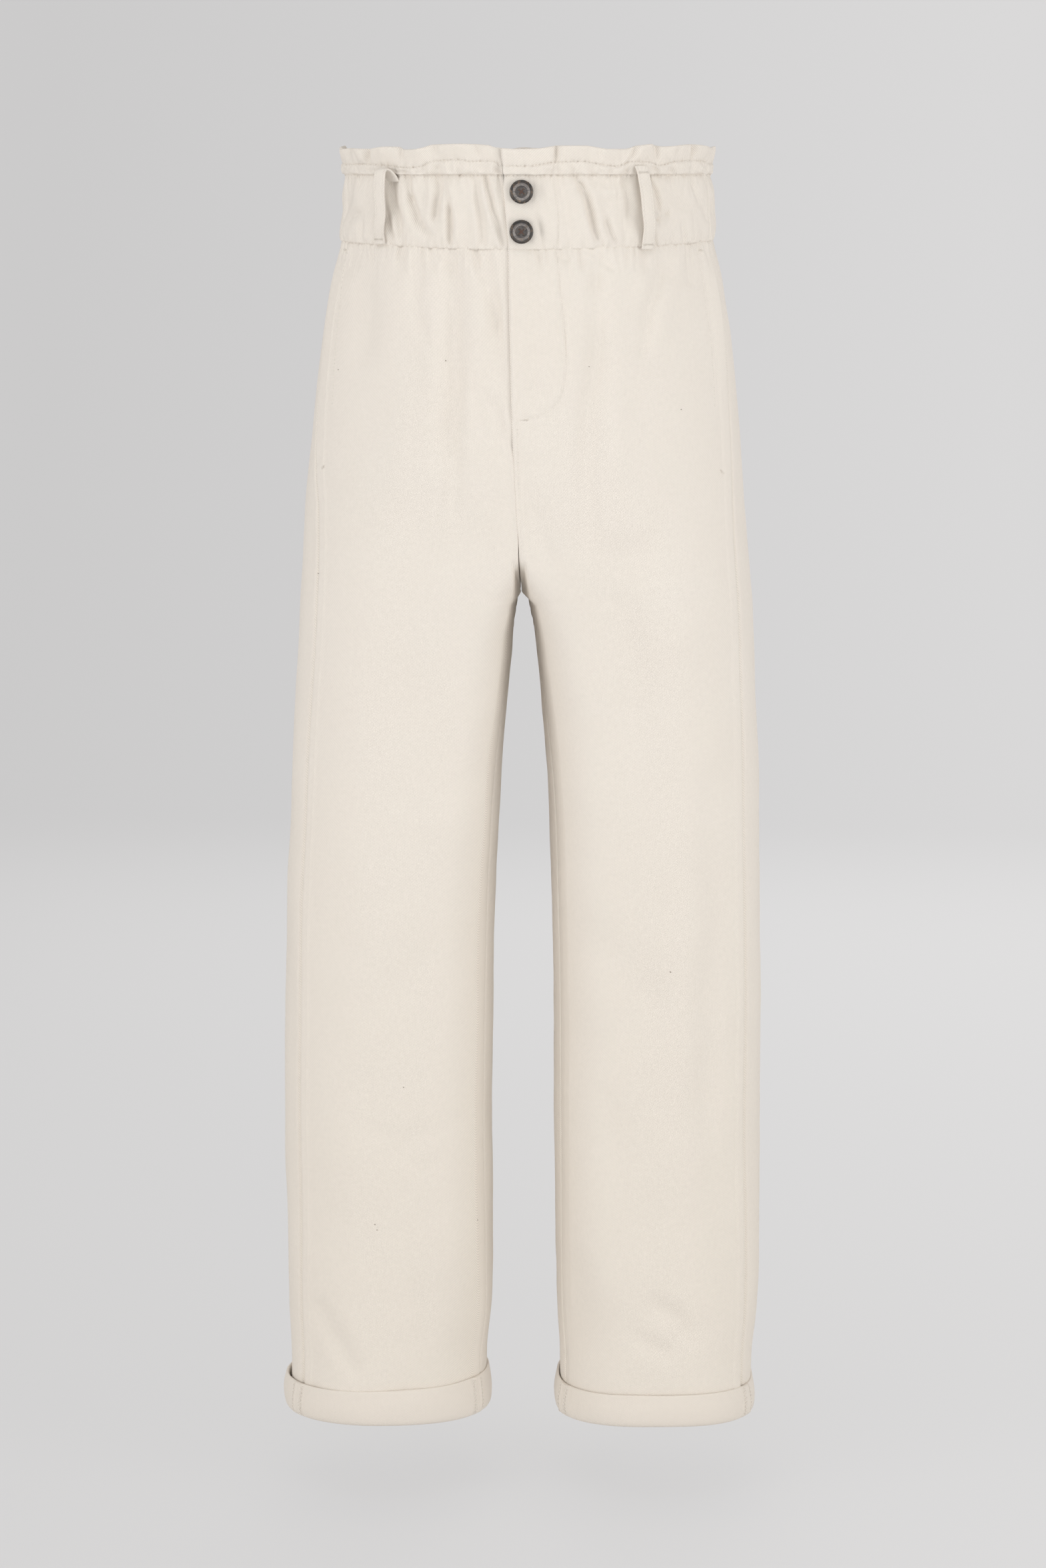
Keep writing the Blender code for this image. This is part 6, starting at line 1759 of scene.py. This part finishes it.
def dashes(points, ahead, normal, length, radius, sides=5):
    """Vertices and faces of one capsule for each point: low at its ends, as thread goes through the cloth."""
    count = len(points)
    normal = unit(normal)
    sideways = unit(np.cross(normal, ahead))
    rings = ((-0.5, -1.3, 0.5), (-0.28, 0.25, 1.0), (0.28, 0.25, 1.0), (0.5, -1.3, 0.5))
    vertices = np.zeros((count, len(rings), sides, 3))
    length = np.broadcast_to(np.asarray(length, float), (count,))[:, None]
    for k, (way, lift, thick) in enumerate(rings):
        centre = points + ahead * way * length + normal * lift * radius
        for j in range(sides):
            a = math.tau * j / sides
            vertices[:, k, j] = centre + (normal * math.cos(a) + sideways * math.sin(a)) * radius * thick
    step = len(rings) * sides
    faces = []
    for n in range(count):
        first = n * step
        for k in range(len(rings) - 1):
            for j in range(sides):
                a, b = first + k * sides, first + (k + 1) * sides
                faces.append((a + j, a + (j + 1) % sides, b + (j + 1) % sides, b + j))
        faces.append(tuple(first + j for j in range(sides))[::-1])
        faces.append(tuple(first + step - sides + j for j in range(sides)))
    return vertices.reshape(-1, 3), faces


def sew(name, rows, material=None, length=2.0 * MM, radius=0.2 * MM):
    """One mesh of thread from rows of (points, directions, normals)."""
    vertices, faces = [], []
    for row in rows:
        points, ahead, normal = row[:3]
        more, new = dashes(points, ahead, normal, row[3] if len(row) > 3 else length, radius)
        start = sum(len(v) for v in vertices)
        faces += [tuple(start + v for v in face) for face in new]
        vertices.append(more)
    made = mesh_object(name, np.vstack(vertices), faces, None, material or THREAD, 80)
    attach(made, "root")
    return made


def lie_on(side, part, places):
    """Points and normals on a panel's outer face at places given as across and height, in mm."""
    outer, normal = SURFACES[side, part]
    found, facing = [], []
    for across, height in places:
        want = np.array([across * MM, height * MM])
        away = np.linalg.norm(outer[..., [0, 2]] - want, axis=2) + (outer[..., 1] > 0.03) * 1.0
        i, j = np.unravel_index(int(np.argmin(away)), away.shape)
        i0, i1 = max(i - 1, 0), min(i + 1, outer.shape[0] - 1)
        j0, j1 = max(j - 1, 0), min(j + 1, outer.shape[1] - 1)
        down, along = (outer[i1, j] - outer[i0, j]) / (i1 - i0), (outer[i, j1] - outer[i, j0]) / (j1 - j0)
        step = np.linalg.lstsq(
            np.column_stack([down[[0, 2]], along[[0, 2]]]), want - outer[i, j][[0, 2]], rcond=None,
        )[0]
        step = np.clip(step, -1.0, 1.0)
        found.append(outer[i, j] + down * step[0] + along * step[1])
        facing.append(normal[i, j])
    return np.array(found), np.array(facing)


def dense(path, step=1.0):
    """A path of 2-D places with more of them, about `step` mm apart."""
    path = np.array(path, float)
    run = lengths(path)
    at = np.linspace(0, run[-1], int(run[-1] / step) + 2)
    return np.column_stack([flowing(run, path[:, k], at) for k in (0, 1)])


def row_on_panel(side, part, path, pitch):
    points, normal = lie_on(side, part, dense(path))
    return resample(points, pitch, normal)


def bartack(centre, ahead, normal, wide, tall, count=9):
    """A bar of close stitches: `wide` along `ahead`, each stitch `tall` across it."""
    ahead = ahead / np.linalg.norm(ahead)
    up = np.cross(normal, ahead)
    at = np.linspace(-0.5, 0.5, count)[:, None] * wide
    points = centre + ahead * at + normal * 0.12 * MM
    lean = up + ahead * 0.25 * np.where(np.arange(count) % 2, 1.0, -1.0)[:, None]
    return points, unit(lean), np.repeat(normal[None], count, 0), tall


# %% Sew the waist
gathering = []
for word, (grid, _, run) in CASINGS.items():
    turn = 1 if word == "left" else -1
    at = PITCH * (np.arange(math.ceil(run[0] / PITCH), math.floor(run[-1] / PITCH)) + 0.5)
    at = at[(at > run[0] + 1) & (at < run[-1] - 1.5)]
    for k in (LOWER_AT, UPPER_AT):
        path = grid[k]
        normal = np.column_stack([turned_out(path[:, :2], turn), np.zeros(len(path))])
        places, facing = along_row(at, run, path), along_row(at, run, normal)
        ahead = unit(along_row(at + 0.8, run, path) - along_row(at - 0.8, run, path))
        gathering.append((places + facing * 0.22 * MM, ahead, facing))
sew("gathering_threads", gathering, length=2.05 * MM, radius=0.24 * MM)

left_grid, _, left_run = CASINGS["left"]
left_across = on_outline(1, left_run * MM, 0.0)[:, 0] / MM
placket = []
for k in range(2, OUTSIDE - 3):
    j = np.interp(placket_at(STRIP[k][0]), left_across, np.arange(left_grid.shape[1]))
    low, part_way = int(j), j - int(j)
    placket.append(left_grid[k, low] * (1 - part_way) + left_grid[k, low + 1] * part_way)
placket = np.array(placket)
forward = np.repeat([[0.0, -1.0, 0.0]], len(placket), 0)
below_roll, above_roll = placket[: LOWER_AT - 2], placket[UPPER_AT - 2:]
sew("placket_thread", [
    resample(path, 2.9 * MM, forward[: len(path)]) for path in (below_roll, above_roll)
])

# %% Sew the mock fly, the pocket edges and their bartacks
BELOW_FLY = [(-4.2, -163.0), (-3.2, -203.0), (-2.0, -240.0), (-1.6, -260.0)]
fly = [row_on_panel(1, "front", path, PITCH * MM) for path in (J_STITCH, BELOW_FLY)]
sew("mock_fly_thread", fly, radius=0.24 * MM)
POCKET_EDGES = {
    1: [
        (134.0, -25.0), (137.4, -45.0), (140.2, -64.6), (142.8, -82.5), (145.5, -99.9), (147.3, -121.9),
        (148.6, -150.0),
    ],
    -1: [(-134.4, -26.0), (-139.0, -42.7), (-142.2, -77.3), (-145.8, -110.1), (-148.0, -149.5)],
}
pocket_rows = [row_on_panel(side, "front", path, PITCH * MM) for side, path in POCKET_EDGES.items()]
sew("pocket_edge_threads", pocket_rows)
bars = []
for side, place, ahead in (
    (1, (0.0, -157.2), (1, 0)), (1, (136.0, -30.2), (1, 0)), (1, (153.5, -199.0), (1, -1.0)),
    (-1, (-137.0, -30.2), (1, 0)), (-1, (-154.5, -196.0), (1, 0.8)),
):
    at, normal = lie_on(side, "front", [place])
    bars.append(bartack(at[0], np.array([ahead[0], 0.0, ahead[1]], float), normal[0], 7.0 * MM, 1.7 * MM))

# %% Stitch the loops: both edges, a bartack at each end of the wearer's left front loop and one at the lower end of each other loop
edge_rows = []
for name, (_, points, through, sideways) in STRAPS.items():
    for at in (3, 9):
        path = points[3:-3, at]
        edge_rows.append(resample(path, 2.6 * MM, through[3:-3]))
    ends = ((5, 6), (-5, 6)) if name == "belt_loop_front_left" else ((-5, 6),)
    for ring, middle in ends:
        bars.append(bartack(points[ring, middle], sideways[ring], through[ring], 8.4 * MM, 1.8 * MM, 12))
sew("loop_edge_threads", edge_rows, length=1.8 * MM, radius=0.16 * MM)
sew("bartacks", bars, radius=0.2 * MM)

# %% Overlock the allowances that the cuffs show
overlock = []
for word, (grid, _, stations, seams, total) in CUFFS.items():
    side = 1 if word == "left" else -1
    for seam in seams:
        for edge in (-1, 1):
            j = int(np.argmin(way_round(stations, seam + edge * ALLOWANCE * 0.42, total)))
            path = grid[5:14, j]
            ahead_ring = grid[5:14, (j + 2) % len(stations)] - grid[5:14, j - 2]
            normal = side * np.cross(ahead_ring, np.gradient(path, axis=0))
            points, ahead, facing = resample(path, 1.5 * MM, normal)
            across_edge = unit(np.cross(ahead, facing))
            slanted = across_edge + 0.45 * ahead * np.where(np.arange(len(ahead)) % 2, 1.0, -1.0)[:, None]
            facing = unit(facing)
            overlock.append((points + facing * 0.1 * MM, unit(slanted), facing))
sew("overlock_threads", overlock, length=2.6 * MM, radius=0.24 * MM)

# %% Sew the buttons on with two crossed threads each
crosses = []
for word, (across, back, height, turn) in button_seats.items():
    face = back - 2.25 * MM
    for angle in (turn + math.pi / 4, turn - math.pi / 4):
        direction = np.array([[math.cos(angle), 0.0, math.sin(angle)]])
        sideways = np.array([[-math.sin(angle), 0.0, math.cos(angle)]])
        for lift in (-0.22, 0.22):
            centre = np.array([[across, face - 0.15 * MM, height]]) + sideways * lift * MM
            crosses.append((centre, direction, np.array([[0.0, -1.0, 0.0]]), 6.0 * MM))
sew("button_threads", crosses, BROWN_THREAD, radius=0.25 * MM)

# %% [markdown]
# ## Neps
#
# Undyed cotton keeps a few specks of seed coat, called neps. They are tiny, dark and rare, and they say at
# once that the cloth is natural.

# %% Scatter a few neps
NEPS = {
    -1: (
        (-143.0, -121.6), (-59.0, -112.5), (-160.5, -278.8), (-94.4, -685.8), (-117.9, -798.7),
        (-116.3, -803.1), (-36.5, -800.6),
    ),
    1: ((121.6, -150.7), (50.4, -116.9), (115.9, -591.8)),
}
specks = []
for side, places in NEPS.items():
    points, normal = lie_on(side, "front", places)
    draw = np.random.default_rng(SEEDS["neps"] + side)
    turned = unit(np.cross(normal, draw.normal(0, 1, points.shape)))
    specks.append((points, turned, normal, draw.uniform(0.7, 1.5, len(points)) * MM))
sew("seed_neps", specks, FLECK, radius=0.3 * MM)
names = [piece.name for piece in bpy.data.objects]
print("stitch pieces:", [name for name in names if "thread" in name or name in ("bartacks", "seed_neps")])

# %% [markdown]
# ## What each piece of cloth was cut to
#
# The flat size is that of the cloth that shows, as it was cut, before it was gathered and hung. The
# measured surface of each shell is printed beside it: gathered strips measure less than they were cut to,
# since the fine gathers that take up the rest are drawn only in part.


def one_face(obj):
    """Half the surface of a closed shell: what one face of the cloth measures, in square metres."""
    return sum(face.area for face in obj.data.polygons) / 2


# piece, cut width and length in metres, its area as a share of that rectangle, how it is held and what on
CUTS = (
    ("twill_front_left", 0.240, 1.005, 0.735, "hung", ["casing_front_left"]),
    ("twill_front_right", 0.230, 1.005, 0.755, "hung", ["casing_front_right"]),
    ("twill_back_left", 0.395, 1.020, 0.780, "hung", ["casing_back"]),
    ("twill_back_right", 0.395, 1.020, 0.775, "hung", ["casing_back"]),
    ("casing_front_left", 0.215, 0.082, 1, "gathered", []),
    ("casing_front_right", 0.200, 0.082, 1, "gathered", []),
    ("casing_back", 0.510, 0.082, 1, "gathered", []),
    ("twill_belt_loop_front_right", 0.0105, 0.075, 1, "stretched", ["casing_front_right"]),
    ("twill_belt_loop_front_left", 0.0105, 0.070, 1, "stretched", ["casing_front_left"]),
    ("twill_belt_loop_back_right", 0.0105, 0.078, 1, "stretched", ["casing_back"]),
    ("twill_belt_loop_back_left", 0.0105, 0.078, 1, "stretched", ["casing_back"]),
    ("twill_belt_loop_back_centre", 0.0105, 0.078, 1, "stretched", ["casing_back"]),
    ("pocket_strip_left", 0.020, 0.158, 1, "hung", ["twill_back_left"]),
    ("pocket_strip_right", 0.020, 0.158, 1, "hung", ["twill_back_right"]),
    ("turned_cuff_left", 0.485, 0.031, 1, "folded", ["twill_front_left", "twill_back_left"]),
    ("turned_cuff_right", 0.480, 0.031, 1, "folded", ["twill_front_right", "twill_back_right"]),
)
for name, width, length, share, held, on in CUTS:
    piece = bpy.data.objects[name]
    at = np.empty(2 * len(piece.data.loops), np.float32)
    piece.data.uv_layers["cloth"].data.foreach_get("uv", at)
    seen = np.ptp(at.reshape(-1, 2), axis=0)
    flat = width * length * share
    measured = f"measured {one_face(piece):.4f} m2, {np.round(seen, 3)}"
    print(f"{name:30} cut {width} x {length}, {flat:.4f} m2, {measured}")

# %% [markdown]
# ## The studio
#
# A seamless grey sweep with painted light: it glows, a little brighter to the right, in place of being lit
# on its own. The garment has very soft light from all round: a tall softbox on each side, a small low one for
# the inner legs, one above and one behind, which shines between the legs. The light is nearly even, so
# creases read as faint warm shades, and the floor's shadow is faint.

# %% Sweep, softboxes and fill
FLOOR = -1.038
SWEEP_START, SWEEP_RADIUS = 3.2, 1.6  # where the paper begins to curve up, and how tightly


def make_backdrop():
    profile = [(-7.0, FLOOR), (SWEEP_START, FLOOR)]
    for a in np.linspace(0.05, math.pi / 2, 24):
        profile.append((SWEEP_START + SWEEP_RADIUS * math.sin(a), FLOOR + SWEEP_RADIUS * (1 - math.cos(a))))
    profile.append((SWEEP_START + SWEEP_RADIUS, 6.0))
    points = [(x, y, z) for x in (-7.0, 7.0) for y, z in profile]
    count = len(profile)
    faces = [(i, i + 1, count + i + 1, count + i) for i in range(count - 1)]
    mesh = bpy.data.meshes.new("grey_sweep")
    mesh.from_pydata(points, [], faces)
    mesh.shade_smooth()
    sweep = bpy.data.objects.new("grey_sweep", mesh)
    scene.collection.objects.link(sweep)
    material, shader = new_material("seamless_paper_painted_glow")
    place = add(material, "ShaderNodeTexCoord").outputs["Object"]
    across = add(material, "ShaderNodeSeparateXYZ", {0: place}).outputs["X"]
    to_right = add(material, "ShaderNodeMapRange", {"Value": across}, From_Min=-0.9, From_Max=0.9).outputs[0]
    # painted light: the sweep glows, a little brighter to the right, in place of light falling on it
    painted_glow = mix_colour(material, to_right, linear(186, 185, 185), linear(201, 200, 200))
    to_shader(material, shader, Emission_Color=painted_glow)
    shader.inputs["Emission Strength"].default_value = 1.0
    shader.inputs["Base Color"].default_value = (0.15, 0.15, 0.15, 1.0)
    shader.inputs["Roughness"].default_value = 0.95
    shader.inputs["Specular IOR Level"].default_value = 0.1
    mesh.materials.append(material)
    sweep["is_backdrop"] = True
    return sweep


def softbox(name, place, aim, width, height, watts):
    data = bpy.data.lights.new(name, "AREA")
    data.shape, data.size, data.size_y, data.energy = "RECTANGLE", width, height, watts
    data.color = (1.0, 0.995, 0.985)
    lamp = bpy.data.objects.new(name, data)
    scene.collection.objects.link(lamp)
    lamp.location = place
    towards = np.array(aim, float) - np.array(place, float)
    tilt = math.atan2(towards[2], math.hypot(towards[0], towards[1]))
    heading = math.atan2(towards[1], towards[0])
    lamp.rotation_euler = (math.pi / 2 + tilt, 0.0, heading - math.pi / 2)
    return lamp


make_backdrop()
softbox("left_softbox", (-2.6, -1.75, -0.3), (0, 0, -0.5), 1.8, 2.4, 45)
softbox("right_softbox", (2.6, -1.75, -0.3), (0, 0, -0.5), 1.8, 2.4, 47)
softbox("low_softbox", (0.0, -3.3, -0.6), (0, 0, -0.45), 1.0, 0.5, 14)
softbox("back_softbox", (0.2, 2.7, 0.5), (0, 0, -0.5), 2.2, 1.6, 20).visible_camera = False
softbox("top_softbox", (-0.3, -1.9, 2.3), (0, 0, -0.3), 2.4, 1.6, 16)
world = bpy.data.worlds.new("studio_fill")
scene.world = world
world.use_nodes = True
world.node_tree.nodes["Background"].inputs["Color"].default_value = (1.0, 1.0, 1.0, 1.0)
world.node_tree.nodes["Background"].inputs["Strength"].default_value = 0.57
scene.view_settings.view_transform = "Standard"
scene.view_settings.look = "None"
scene.view_settings.exposure = 0.0
scene.view_settings.gamma = 1.0

# %% Write the sizes and finish
box = [list(map(float, corner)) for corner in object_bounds()]
for word, corners in (("CAD", cad_box), ("visual", box)):
    print(word, "box mm:", [[round(v * 1000, 1) for v in corner] for corner in corners])
